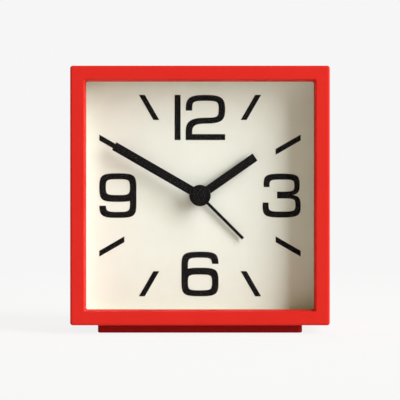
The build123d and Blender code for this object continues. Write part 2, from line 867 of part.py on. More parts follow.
# Movement back: plate with the rear bearings, standoffs for the board and the battery tray
with BuildPart() as movement_back:
    with BuildSketch(facing(plate_back)):
        with Locations(housing_middle):
            RectangleRounded(housing_width, housing_height, housing_corner)
        with Locations(bay_place):
            Rectangle(tray_length, tray_height)
    extrude(amount=plate_thickness)
    with BuildSketch(facing(tray_back)):
        with Locations(bay_place):
            Rectangle(tray_length, tray_height)
            Rectangle(bay_length, bay_height, mode=Mode.SUBTRACT)
    extrude(amount=tray_back - plate_back)
    with BuildSketch(facing(board_front)):
        with Locations(*standoff_places):
            Circle(standoff_radius)
    extrude(amount=board_front - plate_front)
    with BuildSketch(facing(board_back + stake_proud)):
        with Locations(*standoff_places):
            Circle(stake_radius)
    extrude(amount=board_thickness + stake_proud)
    with BuildSketch(facing(board_back + tail_width + tail_gap)):
        with Locations((bay_right, tray_top), (-bay_right, tray_top)):
            Rectangle(2 * contact_thickness + 2 * tail_gap, 2 * tray_wall + 2 * tail_gap)
    extrude(amount=tail_width + 2 * tail_gap, mode=Mode.SUBTRACT)
    with BuildSketch(facing(plate_back)):
        Circle(pivot_radius + running_gap)
        with Locations(*pivot_places):
            Circle(pivot_radius + running_gap)
        with Locations(*shaft_places):
            Circle(shaft_radius + running_gap)
        with Locations(*housing_screw_places):
            Circle(thread_radius + thread_gap)
    extrude(amount=plate_thickness, mode=Mode.SUBTRACT)
finish(movement_back.part, "movement_back")

finish(screw_set(facing(plate_back), housing_screw_places, screw_length), "housing_screws")
finish(screw_set(facing(ear_back), post_places, post_screw_length), "movement_screws")


# Wheel moulded in one with its arbor: gears are (layer, teeth, turn), pivots run in both plates
def geared_arbor(place, gears):
    with BuildPart() as moulding:
        with BuildSketch(facing(plate_front - end_play, place)):
            Circle(arbor_radius)
        extrude(amount=plate_front - room_front - 2 * end_play)
        with BuildSketch(facing(plate_front + pivot_length, place)):
            Circle(pivot_radius)
        extrude(amount=plate_front - room_front + 2 * pivot_length)
        for layer, teeth, turn in gears:
            with BuildSketch(facing(layer_back(layer), place)):
                add(gear_face(teeth, turn))
            extrude(amount=wheel_thickness)
    return moulding.part


# Setting shaft: one gear, a front pivot and a stem through the back plate to its knob
def setting_shaft(place, layer, teeth, turn):
    with BuildPart() as stem:
        with BuildSketch(facing(knob_front + knob_bite, place)):
            Circle(shaft_radius)
        extrude(amount=knob_front + knob_bite - room_front - end_play)
        with BuildSketch(facing(room_front + end_play, place)):
            Circle(pivot_radius)
        extrude(amount=pivot_length)
        with BuildSketch(facing(layer_back(layer), place)):
            add(gear_face(teeth, turn))
        extrude(amount=wheel_thickness)
    return stem.part


# Wheel on a tube that carries a hand
def hand_wheel(layer, teeth, turn, tube, bore, tube_front):
    with BuildPart() as wheel:
        with BuildSketch(facing(layer_back(layer))):
            add(gear_face(teeth, turn))
        extrude(amount=wheel_thickness)
        with BuildSketch(facing(layer_back(layer))):
            Circle(tube)
        extrude(amount=layer_back(layer) - tube_front)
        with BuildSketch(facing(layer_back(layer))):
            Circle(bore)
        extrude(amount=layer_back(layer) - tube_front, mode=Mode.SUBTRACT)
    return wheel.part


finish(hand_wheel("alarm", alarm_teeth, 0, alarm_tube, alarm_bore, alarm_hand_front), "alarm_wheel")
finish(hand_wheel("hour", hour_teeth, hour_turn, hour_tube, hour_bore, hour_hand_front), "hour_wheel")
third_gears = (("center", third_pinion_teeth, third_turn), ("third", third_teeth, third_turn))
finish(geared_arbor(third_place, third_gears), "third_wheel")
second_gears = (("third", second_pinion_teeth, second_turn), ("second", second_teeth, second_turn))
finish(geared_arbor(second_place, second_gears), "second_wheel")
finish(geared_arbor(rotor_place, (("second", rotor_teeth, rotor_turn),)), "rotor_pinion")
finish(setting_shaft(set_place, "motion", set_teeth, set_turn), "time_set_shaft")
finish(setting_shaft(alarm_set_place, "alarm", alarm_set_teeth, alarm_set_turn), "alarm_set_shaft")

# Motion wheel and its pinion, turning on a stud of the housing because the center wheel covers its end
with BuildPart() as motion_wheel:
    with BuildSketch(facing(layer_back("motion"), motion_place)):
        add(gear_face(motion_teeth, motion_turn))
    extrude(amount=wheel_thickness)
    with BuildSketch(facing(layer_back("motion"), motion_place)):
        add(gear_face(motion_pinion_teeth, motion_turn))
    extrude(amount=layer_pitch + wheel_thickness)
    with BuildSketch(facing(layer_back("motion"), motion_place)):
        Circle(arbor_radius + running_gap)
    extrude(amount=layer_pitch + wheel_thickness, mode=Mode.SUBTRACT)
finish(motion_wheel.part, "motion_wheel")

# Minute arbor with the cannon pinion, and the center wheel that slips on it behind a spring washer
arbor_end = minute_hand_front - cap_bite + end_play
with BuildPart() as minute_arbor:
    with BuildSketch(facing(plate_front - end_play)):
        Circle(minute_radius)
    extrude(amount=plate_front - end_play - arbor_end)
    with BuildSketch(facing(plate_front + pivot_length)):
        Circle(pivot_radius)
    extrude(amount=pivot_length + end_play)
    with BuildSketch(facing(layer_back("motion"))):
        add(gear_face(cannon_teeth, 0))
    extrude(amount=wheel_thickness)
finish(minute_arbor.part, "minute_arbor")

with BuildPart() as clutch_washer:
    with BuildSketch(facing(layer_back("motion") + clutch_thickness)):
        Circle(clutch_radius)
        Circle(minute_radius + press_gap, mode=Mode.SUBTRACT)
    extrude(amount=clutch_thickness)
finish(clutch_washer.part, "clutch_washer")

with BuildPart() as center_wheel:
    with BuildSketch(facing(layer_back("center"))):
        add(gear_face(center_teeth, 0))
        Circle(minute_radius + running_gap, mode=Mode.SUBTRACT)
    extrude(amount=wheel_thickness)
finish(center_wheel.part, "center_wheel")

# Stepping motor: magnet on the rotor, C-shaped stator, and a coil on a core between its arms
with BuildPart() as rotor_magnet:
    with BuildSketch(facing(layer_back("third"), rotor_place)):
        Circle(magnet_radius)
        Circle(arbor_radius + press_gap, mode=Mode.SUBTRACT)
    extrude(amount=layer_pitch + wheel_thickness)
finish(rotor_magnet.part, "rotor_magnet")

with BuildPart() as motor_stator:
    with BuildSketch(facing(stator_back)):
        with Locations(rotor_place):
            Circle(magnet_radius + magnet_gap + stator_ring)
            Rectangle(coil_offset + arm_width / 2, arm_width, align=(Align.MIN, Align.CENTER))
        with Locations((arm_right, rotor_place[1])):
            Rectangle(arm_width, core_length + 1.5 * arm_width, align=(Align.CENTER, Align.MAX))
        with Locations((arm_right, core_bottom)):
            Rectangle(coil_right - arm_right + arm_width / 2, arm_width, align=(Align.MIN, Align.MAX))
        with Locations(rotor_place):
            Circle(magnet_radius + magnet_gap, mode=Mode.SUBTRACT)
    extrude(amount=stator_thickness)
finish(motor_stator.part, "motor_stator")

with BuildPart() as coil_core:
    with BuildSketch(facing(stator_back)):
        with Locations((coil_right, core_bottom)):
            Rectangle(core_width, core_length, align=(Align.CENTER, Align.MIN))
    extrude(amount=stator_thickness)
finish(coil_core.part, "coil_core")

# Planes across the coil, looking up along its core
bobbin_low = core_bottom + coil_gap
bobbin_length = core_length - 2 * coil_gap
coil_low = bobbin_low + bobbin_flange
coil_length = bobbin_length - 2 * bobbin_flange
coil_center = (coil_right, stator_middle - case_depth / 2)
sleeve_width = core_width + 2 * core_gap + 2 * bobbin_wall
sleeve_depth = stator_thickness + 2 * core_gap + 2 * bobbin_wall
with BuildPart() as coil_bobbin:
    with BuildSketch(Plane.XY.offset(axis_height + bobbin_low)):
        with Locations(coil_center):
            Rectangle(sleeve_width, sleeve_depth)
    extrude(amount=bobbin_length)
    with BuildSketch(Plane.XY.offset(axis_height + bobbin_low),
                     Plane.XY.offset(axis_height + bobbin_low + bobbin_length - bobbin_flange)):
        with Locations(coil_center):
            Circle(flange_radius)
    extrude(amount=bobbin_flange)
    with BuildSketch(Plane.XY.offset(axis_height + bobbin_low)):
        with Locations(coil_center):
            Rectangle(core_width + 2 * core_gap, stator_thickness + 2 * core_gap)
    extrude(amount=bobbin_length, mode=Mode.SUBTRACT)
finish(coil_bobbin.part, "coil_bobbin")

with BuildPart() as motor_coil:
    with BuildSketch(Plane.XY.offset(axis_height + coil_low)):
        with Locations(coil_center):
            Circle(coil_radius)
            Rectangle(sleeve_width, sleeve_depth, mode=Mode.SUBTRACT)
    extrude(amount=coil_length)
finish(motor_coil.part, "motor_coil")

# Leaf that the cam of the hour wheel closes at the set time
with BuildPart() as alarm_contact:
    contact_end = polar(contact_tip_length, contact_bearing - 90, contact_middle)
    contact_place = polar(contact_thickness / 2, contact_bearing, contact_end)
    with BuildSketch(facing(layer_back("hour"), contact_place)):
        Rectangle(contact_length, contact_thickness, rotation=contact_bearing + 90,
                  align=(Align.MIN, Align.CENTER))
    extrude(amount=wheel_thickness)
finish(alarm_contact.part, "alarm_contact")

# Circuit board, staked on the standoffs, with holes for the setting shafts
with BuildPart() as circuit_board:
    with BuildSketch(facing(board_back)):
        with Locations(board_middle):
            Rectangle(board_width, board_height)
        with Locations(*shaft_places):
            Circle(shaft_radius + shaft_room, mode=Mode.SUBTRACT)
        with Locations(*standoff_places):
            Circle(stake_radius + running_gap, mode=Mode.SUBTRACT)
    extrude(amount=board_thickness)
finish(circuit_board.part, "circuit_board")

with BuildPart() as control_chip:
    with BuildSketch(facing(board_back + chip_height, chip_place)):
        RectangleRounded(chip_size, chip_size, chip_corner)
    extrude(amount=chip_height)
    chamfer(control_chip.faces().sort_by(Axis.Y)[-1].edges(), chip_edge)
finish(control_chip.part, "control_chip")

with BuildPart() as quartz_crystal:
    crystal_middle = (crystal_place[0], board_back + crystal_radius - case_depth / 2)
    with BuildSketch(Plane.XY.offset(axis_height + crystal_place[1])):
        with Locations(crystal_middle):
            Circle(crystal_radius)
    extrude(amount=crystal_length)
finish(quartz_crystal.part, "quartz_crystal")

with BuildPart() as buzzer:
    with BuildSketch(facing(board_back + buzzer_height, (0, buzzer_rise))):
        Circle(buzzer_radius)
    extrude(amount=buzzer_height)
    fillet(buzzer.faces().sort_by(Axis.Y)[-1].edges(), buzzer_edge)
    with BuildSketch(facing(board_back + buzzer_height, (0, buzzer_rise))):
        Circle(buzzer_port)
    extrude(amount=buzzer_port, mode=Mode.SUBTRACT)
finish(buzzer.part, "buzzer")

# Snooze switch on the board, its plunger and the button in the rear cover that presses it
snooze_place = (0, snooze_rise)
with BuildPart() as snooze_switch:
    with BuildSketch(facing(switch_back, snooze_place)):
        Rectangle(switch_size, switch_size)
    extrude(amount=switch_height)
    with BuildSketch(facing(switch_back, snooze_place)):
        Circle(plunger_radius + running_gap)
    extrude(amount=plunger_seat + snooze_travel + end_play, mode=Mode.SUBTRACT)
finish(snooze_switch.part, "snooze_switch")

with BuildPart() as switch_plunger:
    with BuildSketch(facing(plunger_back, snooze_place)):
        Circle(plunger_radius)
    extrude(amount=plunger_proud + plunger_seat)
finish(switch_plunger.part, "switch_plunger")

with BuildPart() as snooze_button:
    with BuildSketch(facing(cover_back + snooze_proud, snooze_place)):
        RectangleRounded(snooze_width, snooze_height, snooze_corner)
    extrude(amount=snooze_proud + cover_thickness + fit_gap)
    fillet(snooze_button.faces().sort_by(Axis.Y)[-1].edges(), snooze_edge)
    with BuildSketch(facing(cover_front - fit_gap, snooze_place)):
        RectangleRounded(snooze_width + 2 * snooze_flange, snooze_height + 2 * snooze_flange, snooze_corner)
    extrude(amount=snooze_flange_thickness)
    with BuildSketch(facing(cover_front - fit_gap, snooze_place)):
        Circle(snooze_stem_radius)
    extrude(amount=cover_front - fit_gap - plunger_back)
finish(snooze_button.part, "snooze_button")

# Alarm on/off slider: thumb piece outside, flange inside and a stem that carries the wiper to the board
slider_place = (slider_right, -slider_drop)
slider_stem_back = cover_front - fit_gap - slider_flange_thickness
wiper_back = board_back + wiper_gap + wiper_thickness
with BuildPart() as alarm_slider:
    with BuildSketch(facing(cover_back + fit_gap + thumb_proud, slider_place)):
        Rectangle(thumb_width, thumb_height)
    extrude(amount=thumb_proud)
    with BuildSketch(facing(cover_back + fit_gap + thumb_proud, slider_place)):
        with GridLocations(thumb_width / (thumb_ribs + 1), 0, thumb_ribs, 1):
            Rectangle(thumb_rib_width, thumb_height)
    extrude(amount=thumb_rib_depth, mode=Mode.SUBTRACT)
    with BuildSketch(facing(cover_back + fit_gap, slider_place)):
        Rectangle(neck_width, neck_height)
    extrude(amount=cover_thickness + 2 * fit_gap)
    with BuildSketch(facing(cover_front - fit_gap, slider_place)):
        Rectangle(slider_flange_width, slider_flange_height)
    extrude(amount=slider_flange_thickness)
    with BuildSketch(facing(slider_stem_back, slider_place)):
        Rectangle(slider_stem, slider_stem)
    extrude(amount=slider_stem_back - wiper_back)
finish(alarm_slider.part, "alarm_slider")

with BuildPart() as slider_wiper:
    with BuildSketch(facing(wiper_back, slider_place)):
        Rectangle(wiper_length, wiper_width)
    extrude(amount=wiper_thickness)
finish(slider_wiper.part, "slider_wiper")

# Battery and the contacts at the two ends of its tray
with BuildPart() as battery:
    with BuildSketch(sideways(battery_left, battery_depth, -battery_drop)):
        Circle(battery_radius)
    extrude(amount=battery_length)
    fillet(battery.edges().filter_by(GeomType.CIRCLE), battery_round)
    with BuildSketch(sideways(battery_left + battery_length, battery_depth, -battery_drop)):
        Circle(nub_radius)
    extrude(amount=nub_length)
finish(battery.part, "battery")

tail_length = tray_top + tail_rise + battery_drop
with BuildPart() as positive_contact:
    with BuildSketch(sideways(bay_right - contact_thickness, battery_depth, -battery_drop)):
        Rectangle(plate_width, plate_height)
    extrude(amount=contact_thickness)
    with BuildSketch(sideways(bay_right - contact_thickness, board_back, -battery_drop)):
        Rectangle(tail_width, tail_length, align=(Align.MIN, Align.MIN))
    extrude(amount=contact_thickness)
finish(positive_contact.part, "positive_contact")

with BuildPart() as negative_contact:
    with BuildSketch(sideways(-bay_right, battery_depth, -battery_drop)):
        Rectangle(plate_width, plate_height)
    extrude(amount=contact_thickness)
    with BuildSketch(sideways(-bay_right, board_back, -battery_drop)):
        Rectangle(tail_width, tail_length, align=(Align.MIN, Align.MIN))
    extrude(amount=contact_thickness)
    tongue = [(contact_thickness - bay_right, -tongue_height), (battery_left, -tongue_tip),
              (battery_left, tongue_tip), (2 * contact_thickness + end_play - bay_right, tongue_height)]
    tongue_rear = [(right - contact_thickness, up) for right, up in reversed(tongue)]
    with BuildSketch(facing(battery_depth + tongue_width / 2, bay_place)):
        Polygon(*tongue, *tongue_rear, align=None)
    extrude(amount=tongue_width)
finish(negative_contact.part, "negative_contact")

# Rear cover with the openings for its controls, the sound slots and the seat of the battery door
door_top = door_height / 2 - battery_drop
with BuildPart() as rear_cover:
    with BuildSketch(facing(cover_back)):
        RectangleRounded(fit_width, fit_height, cover_radius)
    extrude(amount=cover_thickness)
    chamfer(rear_cover.faces().sort_by(Axis.Y)[-1].edges(), cover_edge)
    with BuildSketch(facing(cover_back)):
        with Locations(snooze_place):
            RectangleRounded(snooze_width + 2 * snooze_gap, snooze_height + 2 * snooze_gap,
                             snooze_corner + snooze_gap)
        with Locations((0, -slider_drop)):
            Rectangle(neck_width + slider_travel + 2 * slot_gap, neck_height + 2 * slot_gap)
        with Locations((0, buzzer_rise)):
            with GridLocations(0, grille_pitch, 1, grille_slots):
                SlotOverall(grille_length, grille_width)
        with Locations(*shaft_places):
            Circle(shaft_radius + knob_hole_gap)
        with Locations(bay_place):
            Rectangle(bay_length, bay_height)
        with Locations(*cover_screw_places):
            Circle(thread_radius + thread_gap)
    extrude(amount=cover_thickness, mode=Mode.SUBTRACT)
    with BuildSketch(facing(cover_back)):
        with Locations(bay_place):
            Rectangle(door_width, door_height)
    extrude(amount=door_thickness + fit_gap, mode=Mode.SUBTRACT)
    with BuildSketch(facing(cover_back)):
        with Locations((0, door_top)):
            Circle(notch_radius)
    extrude(amount=notch_depth, mode=Mode.SUBTRACT)
    with BuildSketch(facing(cover_back)):
        with Locations(*cover_screw_places):
            Circle(head_radius + head_gap)
    extrude(amount=head_height + head_recess, mode=Mode.SUBTRACT)
    socket_left = -door_width / 2 - pin_length - fit_gap
    with BuildSketch(sideways(socket_left, hinge_depth, hinge_up)):
        Circle(pin_radius + running_gap)
    extrude(amount=-2 * socket_left, mode=Mode.SUBTRACT)
finish(rear_cover.part, "rear_cover")

cover_seat = cover_back - head_height - head_recess
finish(screw_set(facing(cover_seat), cover_screw_places, screw_length), "rear_cover_screws")

# Battery door, rounded about the two pins that it swings on
leaf_width = door_width - 2 * door_gap
pin_reach = door_width / 2 + pin_length
with BuildPart() as battery_door:
    with BuildSketch(sideways(-leaf_width / 2, hinge_depth, hinge_up)):
        Circle(door_thickness / 2)
        Rectangle(door_thickness, door_top - door_gap - hinge_up, align=(Align.CENTER, Align.MIN))
    extrude(amount=leaf_width)
    with BuildSketch(sideways(-pin_reach, hinge_depth, hinge_up)):
        Circle(pin_radius)
    extrude(amount=2 * pin_reach)
finish(battery_door.part, "battery_door")


# Fluted knob pressed on a setting shaft
def setting_knob(place):
    with BuildPart() as knob:
        with BuildSketch(facing(knob_front + knob_height, place)):
            Circle(knob_radius)
        extrude(amount=knob_height)
        chamfer(knob.faces().sort_by(Axis.Y)[-1].edges(), knob_edge)
        with BuildSketch(facing(knob_front + knob_height, place)):
            with PolarLocations(knob_radius, knob_flutes):
                Circle(flute_radius)
        extrude(amount=knob_height, mode=Mode.SUBTRACT)
        with BuildSketch(facing(knob_front + knob_height, place)):
            Circle(dish_radius)
        extrude(amount=dish_depth, mode=Mode.SUBTRACT)
        with BuildSketch(facing(knob_front, place)):
            Circle(shaft_radius + press_gap)
        extrude(amount=-knob_bite - end_play, mode=Mode.SUBTRACT)
    return knob.part


finish(setting_knob(set_place), "time_set_knob")
finish(setting_knob(alarm_set_place), "alarm_set_knob")
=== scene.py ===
import math
import bmesh
import bpy
from mathutils import Matrix, Vector


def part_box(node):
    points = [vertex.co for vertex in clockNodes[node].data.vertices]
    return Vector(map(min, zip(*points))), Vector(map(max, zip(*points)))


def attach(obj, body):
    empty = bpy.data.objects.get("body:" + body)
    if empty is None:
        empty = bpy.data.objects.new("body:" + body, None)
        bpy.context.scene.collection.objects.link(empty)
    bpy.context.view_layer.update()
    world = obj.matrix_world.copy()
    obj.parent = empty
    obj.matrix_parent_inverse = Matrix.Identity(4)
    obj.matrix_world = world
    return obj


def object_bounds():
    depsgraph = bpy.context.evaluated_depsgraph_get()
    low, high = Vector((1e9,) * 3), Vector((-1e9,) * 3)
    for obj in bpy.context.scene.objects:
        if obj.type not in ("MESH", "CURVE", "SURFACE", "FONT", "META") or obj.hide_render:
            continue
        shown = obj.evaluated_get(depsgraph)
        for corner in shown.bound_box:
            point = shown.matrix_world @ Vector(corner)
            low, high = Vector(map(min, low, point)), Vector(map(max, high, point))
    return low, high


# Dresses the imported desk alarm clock: finishes, printed marks, grips and small parts on its solids.
# Everything is in metres in the clock's own frame: +Z up, dial looking along -Y.

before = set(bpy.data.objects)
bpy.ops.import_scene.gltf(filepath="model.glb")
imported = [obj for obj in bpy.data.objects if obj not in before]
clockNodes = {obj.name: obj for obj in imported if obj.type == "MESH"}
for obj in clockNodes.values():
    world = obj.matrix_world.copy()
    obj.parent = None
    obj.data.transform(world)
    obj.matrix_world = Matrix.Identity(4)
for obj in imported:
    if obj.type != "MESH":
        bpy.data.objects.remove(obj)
cadLow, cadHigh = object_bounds()
mm = 0.001
print("frame loaded:", len(clockNodes), "nodes")


# Shading helpers shared by all finishes

def startFinish(name):
    finish = bpy.data.materials.new(name)
    finish.use_nodes = True
    tree = finish.node_tree
    place = tree.nodes.new("ShaderNodeTexCoord").outputs["Object"]
    return finish, tree, tree.nodes["Principled BSDF"], place


def grain(tree, place, size, detail=3.0, stretch=(1, 1, 1)):
    mapping = tree.nodes.new("ShaderNodeMapping")
    mapping.inputs["Scale"].default_value = [s / size for s in stretch]
    tree.links.new(place, mapping.inputs["Vector"])
    noise = tree.nodes.new("ShaderNodeTexNoise")
    noise.inputs["Scale"].default_value = 1.0
    noise.inputs["Detail"].default_value = detail
    tree.links.new(mapping.outputs["Vector"], noise.inputs["Vector"])
    return noise.outputs["Fac"]


def spread(tree, value, low, high, fromLow=0.3, fromHigh=0.7):
    ranged = tree.nodes.new("ShaderNodeMapRange")
    ranged.inputs["From Min"].default_value = fromLow
    ranged.inputs["From Max"].default_value = fromHigh
    ranged.inputs["To Min"].default_value = low
    ranged.inputs["To Max"].default_value = high
    tree.links.new(value, ranged.inputs["Value"])
    return ranged.outputs["Result"]


mixSockets = dict(share=0, first=6, second=7, result=2)  # where the Mix node keeps its sockets for colours


def tint(tree, share, firstColour, secondColour):
    mixed = tree.nodes.new("ShaderNodeMix")
    mixed.data_type = "RGBA"
    tree.links.new(share, mixed.inputs[mixSockets["share"]])
    mixed.inputs[mixSockets["first"]].default_value = (*firstColour, 1)
    mixed.inputs[mixSockets["second"]].default_value = (*secondColour, 1)
    return mixed.outputs[mixSockets["result"]]


# Base colour clouded between the two tones of a look, and roughness between the two ends of its gloss
def paint(tree, shader, clouds, look):
    tone = tint(tree, spread(tree, clouds, 0.0, 1.0), look["colour"], look["deepColour"])
    tree.links.new(tone, shader.inputs["Base Color"])


def polish(tree, shader, value, look):
    tree.links.new(spread(tree, value, *look["gloss"]), shader.inputs["Roughness"])


def relief(tree, shader, height, depth):
    bump = tree.nodes.new("ShaderNodeBump")
    bump.inputs["Strength"].default_value = 1.0
    bump.inputs["Distance"].default_value = depth
    tree.links.new(height, bump.inputs["Height"])
    tree.links.new(bump.outputs["Normal"], shader.inputs["Normal"])


wavePeriod = 0.314  # length of one band of the Wave texture at a scale of 1


def waves(tree, place, direction, pitch, waver=0.0):
    wave = tree.nodes.new("ShaderNodeTexWave")
    wave.wave_type = "BANDS"
    wave.bands_direction = direction
    wave.inputs["Scale"].default_value = wavePeriod / pitch
    wave.inputs["Distortion"].default_value = waver
    tree.links.new(place, wave.inputs["Vector"])
    return wave.outputs["Fac"]


# 1 for a ray of any of the named kinds, else 0
def anyRay(tree, kinds):
    rays = tree.nodes.new("ShaderNodeLightPath")
    seen = rays.outputs[kinds[0]]
    for kind in kinds[1:]:
        either = tree.nodes.new("ShaderNodeMath")
        either.operation = "MAXIMUM"
        tree.links.new(seen, either.inputs[0])
        tree.links.new(rays.outputs[kind], either.inputs[1])
        seen = either.outputs[0]
    return seen


# The first shader where the share is 0, the second where it is 1
def mixTo(tree, share, first, second, outputName):
    mixed = tree.nodes.new("ShaderNodeMixShader")
    for socket, source in zip(mixed.inputs, (share, first.outputs[0], second.outputs[0])):
        tree.links.new(source, socket)
    tree.links.new(mixed.outputs[0], tree.nodes[outputName].inputs["Surface"])


plainShine = 0.5  # for a look that gives no shine of its own


# Moulded plastics, paints and inks: a cloudy tone, a fine grain in the gloss and a shallow relief
def mouldedFinish(name, look):
    finish, tree, shader, place = startFinish(name)
    fine = grain(tree, place, look["grainSize"], detail=4.0)
    paint(tree, shader, grain(tree, place, look["cloudSize"], detail=2.0), look)
    polish(tree, shader, fine, look)
    shader.inputs["Specular IOR Level"].default_value = look.get("shine", plainShine)
    relief(tree, shader, fine, look["relief"])
    return finish


mouldedLooks = {
    "redPlastic": dict(colour=(0.718, 0.022, 0.016), deepColour=(0.694, 0.020, 0.014), cloudSize=14 * mm,
                       grainSize=0.35 * mm, gloss=(0.48, 0.58), relief=0.010 * mm, shine=0.1),
    # The foot's darker red is painted shade: the case's own red plastic, darkened to stand for the shadow
    # under the case's overhang
    "footRedPaintedShade": dict(colour=(0.39, 0.007, 0.008), deepColour=(0.36, 0.006, 0.007), cloudSize=12 * mm,
                        grainSize=0.30 * mm, gloss=(0.48, 0.58), relief=0.012 * mm, shine=0.1),
    "blackPlastic": dict(colour=(0.022, 0.022, 0.024), deepColour=(0.016, 0.016, 0.017), cloudSize=9 * mm,
                         grainSize=0.28 * mm, gloss=(0.42, 0.60), relief=0.030 * mm),
    "dialCard": dict(colour=(0.856, 0.880, 0.826), deepColour=(0.839, 0.862, 0.806), cloudSize=6 * mm,
                     grainSize=0.16 * mm, gloss=(0.66, 0.80), relief=0.004 * mm, shine=0.2),
    "spacerCard": dict(colour=(0.70, 0.645, 0.52), deepColour=(0.67, 0.615, 0.49), cloudSize=7 * mm,
                       grainSize=0.20 * mm, gloss=(0.60, 0.74), relief=0.006 * mm, shine=0.15),
    "dialInk": dict(colour=(0.0078, 0.0070, 0.0068), deepColour=(0.0064, 0.0058, 0.0057), cloudSize=3 * mm,
                    grainSize=0.30 * mm, gloss=(0.62, 0.74), relief=0.002 * mm, shine=0.05),
    "handPaint": dict(colour=(0.0062, 0.0054, 0.0054), deepColour=(0.0050, 0.0045, 0.0046), cloudSize=4 * mm,
                      grainSize=0.35 * mm, gloss=(0.46, 0.56), relief=0.002 * mm, shine=0.05),
    "capGloss": dict(colour=(0.0062, 0.0054, 0.0054), deepColour=(0.0050, 0.0045, 0.0046), cloudSize=3 * mm,
                     grainSize=0.40 * mm, gloss=(0.26, 0.34), relief=0.0015 * mm, shine=0.06),
    "housingGrey": dict(colour=(0.150, 0.160, 0.172), deepColour=(0.120, 0.128, 0.140), cloudSize=8 * mm,
                        grainSize=0.30 * mm, gloss=(0.45, 0.62), relief=0.015 * mm),
    "gearWhite": dict(colour=(0.80, 0.80, 0.77), deepColour=(0.74, 0.74, 0.70), cloudSize=4 * mm,
                      grainSize=0.20 * mm, gloss=(0.30, 0.42), relief=0.004 * mm),
    "gearAmber": dict(colour=(0.62, 0.33, 0.075), deepColour=(0.52, 0.26, 0.055), cloudSize=4 * mm,
                      grainSize=0.20 * mm, gloss=(0.28, 0.40), relief=0.004 * mm),
    "bobbinNylon": dict(colour=(0.70, 0.66, 0.54), deepColour=(0.63, 0.59, 0.47), cloudSize=5 * mm,
                        grainSize=0.22 * mm, gloss=(0.40, 0.52), relief=0.006 * mm),
    "chipResin": dict(colour=(0.014, 0.014, 0.016), deepColour=(0.010, 0.010, 0.011), cloudSize=2 * mm,
                      grainSize=0.14 * mm, gloss=(0.55, 0.72), relief=0.006 * mm),
    "magnetFerrite": dict(colour=(0.034, 0.032, 0.034), deepColour=(0.022, 0.021, 0.023), cloudSize=2 * mm,
                          grainSize=0.10 * mm, gloss=(0.50, 0.66), relief=0.010 * mm),
    "boardCopper": dict(colour=(0.040, 0.215, 0.080), deepColour=(0.032, 0.180, 0.066), cloudSize=3 * mm,
                        grainSize=0.20 * mm, gloss=(0.22, 0.34), relief=0.003 * mm),
    "markWhite": dict(colour=(0.70, 0.70, 0.68), deepColour=(0.62, 0.62, 0.60), cloudSize=2 * mm,
                      grainSize=0.12 * mm, gloss=(0.50, 0.66), relief=0.003 * mm),
}
finishes = {name: mouldedFinish(name, look) for name, look in mouldedLooks.items()}


metalClouds = 3 * mm  # size of the cloudy tone on every metal


# Metals: fine lines drawn along one direction, cloudy tone under them
def drawnMetal(name, look):
    finish, tree, shader, place = startFinish(name)
    lines = grain(tree, place, look["lineSize"], stretch=look["along"])
    paint(tree, shader, grain(tree, place, metalClouds, detail=2.0), look)
    polish(tree, shader, lines, look)
    shader.inputs["Metallic"].default_value = 1.0
    relief(tree, shader, lines, look["relief"])
    return finish


metalLooks = {
    "shaftBrass": dict(colour=(0.80, 0.58, 0.24), deepColour=(0.70, 0.48, 0.18), lineSize=0.10 * mm,
                       along=(1, 0.05, 1), gloss=(0.22, 0.36), relief=0.003 * mm),
    "springBrass": dict(colour=(0.76, 0.52, 0.22), deepColour=(0.66, 0.43, 0.17), lineSize=0.12 * mm,
                        along=(0.1, 1, 1), gloss=(0.26, 0.40), relief=0.003 * mm),
    "laminationSteel": dict(colour=(0.50, 0.51, 0.53), deepColour=(0.40, 0.41, 0.43), lineSize=0.14 * mm,
                            along=(1, 1, 0.08), gloss=(0.34, 0.50), relief=0.004 * mm),
    "crystalCan": dict(colour=(0.74, 0.75, 0.76), deepColour=(0.64, 0.65, 0.67), lineSize=0.08 * mm,
                       along=(1, 1, 0.06), gloss=(0.20, 0.34), relief=0.002 * mm),
    "contactSteel": dict(colour=(0.68, 0.68, 0.67), deepColour=(0.57, 0.57, 0.56), lineSize=0.10 * mm,
                         along=(1, 1, 0.1), gloss=(0.24, 0.38), relief=0.003 * mm),
    "screwSteel": dict(colour=(0.56, 0.56, 0.57), deepColour=(0.44, 0.44, 0.46), lineSize=0.16 * mm,
                       along=(1, 0.3, 1), gloss=(0.30, 0.48), relief=0.006 * mm),
}
finishes.update({name: drawnMetal(name, look) for name, look in metalLooks.items()})


# Clear lens: it shines faintly to the eye, while light on its way to the dial passes straight through
def lensAcrylic():
    look = dict(gloss=(0.006, 0.016), index=1.08, cloudSize=20 * mm)
    finish, tree, shader, place = startFinish("lensAcrylic")
    polish(tree, shader, grain(tree, place, look["cloudSize"], detail=1.0), look)
    shader.inputs["Base Color"].default_value = (1, 1, 1, 1)
    shader.inputs["IOR"].default_value = look["index"]
    shader.inputs["Transmission Weight"].default_value = 1.0
    straight = tree.nodes.new("ShaderNodeBsdfTransparent")
    mixTo(tree, anyRay(tree, ("Is Shadow Ray", "Is Diffuse Ray")), shader, straight, "Material Output")
    return finish


finishes["lensAcrylic"] = lensAcrylic()


# Enamelled wire wound round the bobbin: turns run across the coil, one above the other
def woundCopper():
    look = dict(colour=(0.62, 0.235, 0.085), deepColour=(0.30, 0.095, 0.035), turnPitch=0.32 * mm,
                waver=0.4, metal=0.8, grainSize=0.5 * mm, gloss=(0.24, 0.40), relief=0.06 * mm)
    finish, tree, shader, place = startFinish("woundCopper")
    turns = waves(tree, place, "Z", look["turnPitch"], look["waver"])
    tone = tint(tree, turns, look["deepColour"], look["colour"])
    tree.links.new(tone, shader.inputs["Base Color"])
    shader.inputs["Metallic"].default_value = look["metal"]
    polish(tree, shader, grain(tree, place, look["grainSize"]), look)
    relief(tree, shader, turns, look["relief"])
    return finish


finishes["woundCopper"] = woundCopper()


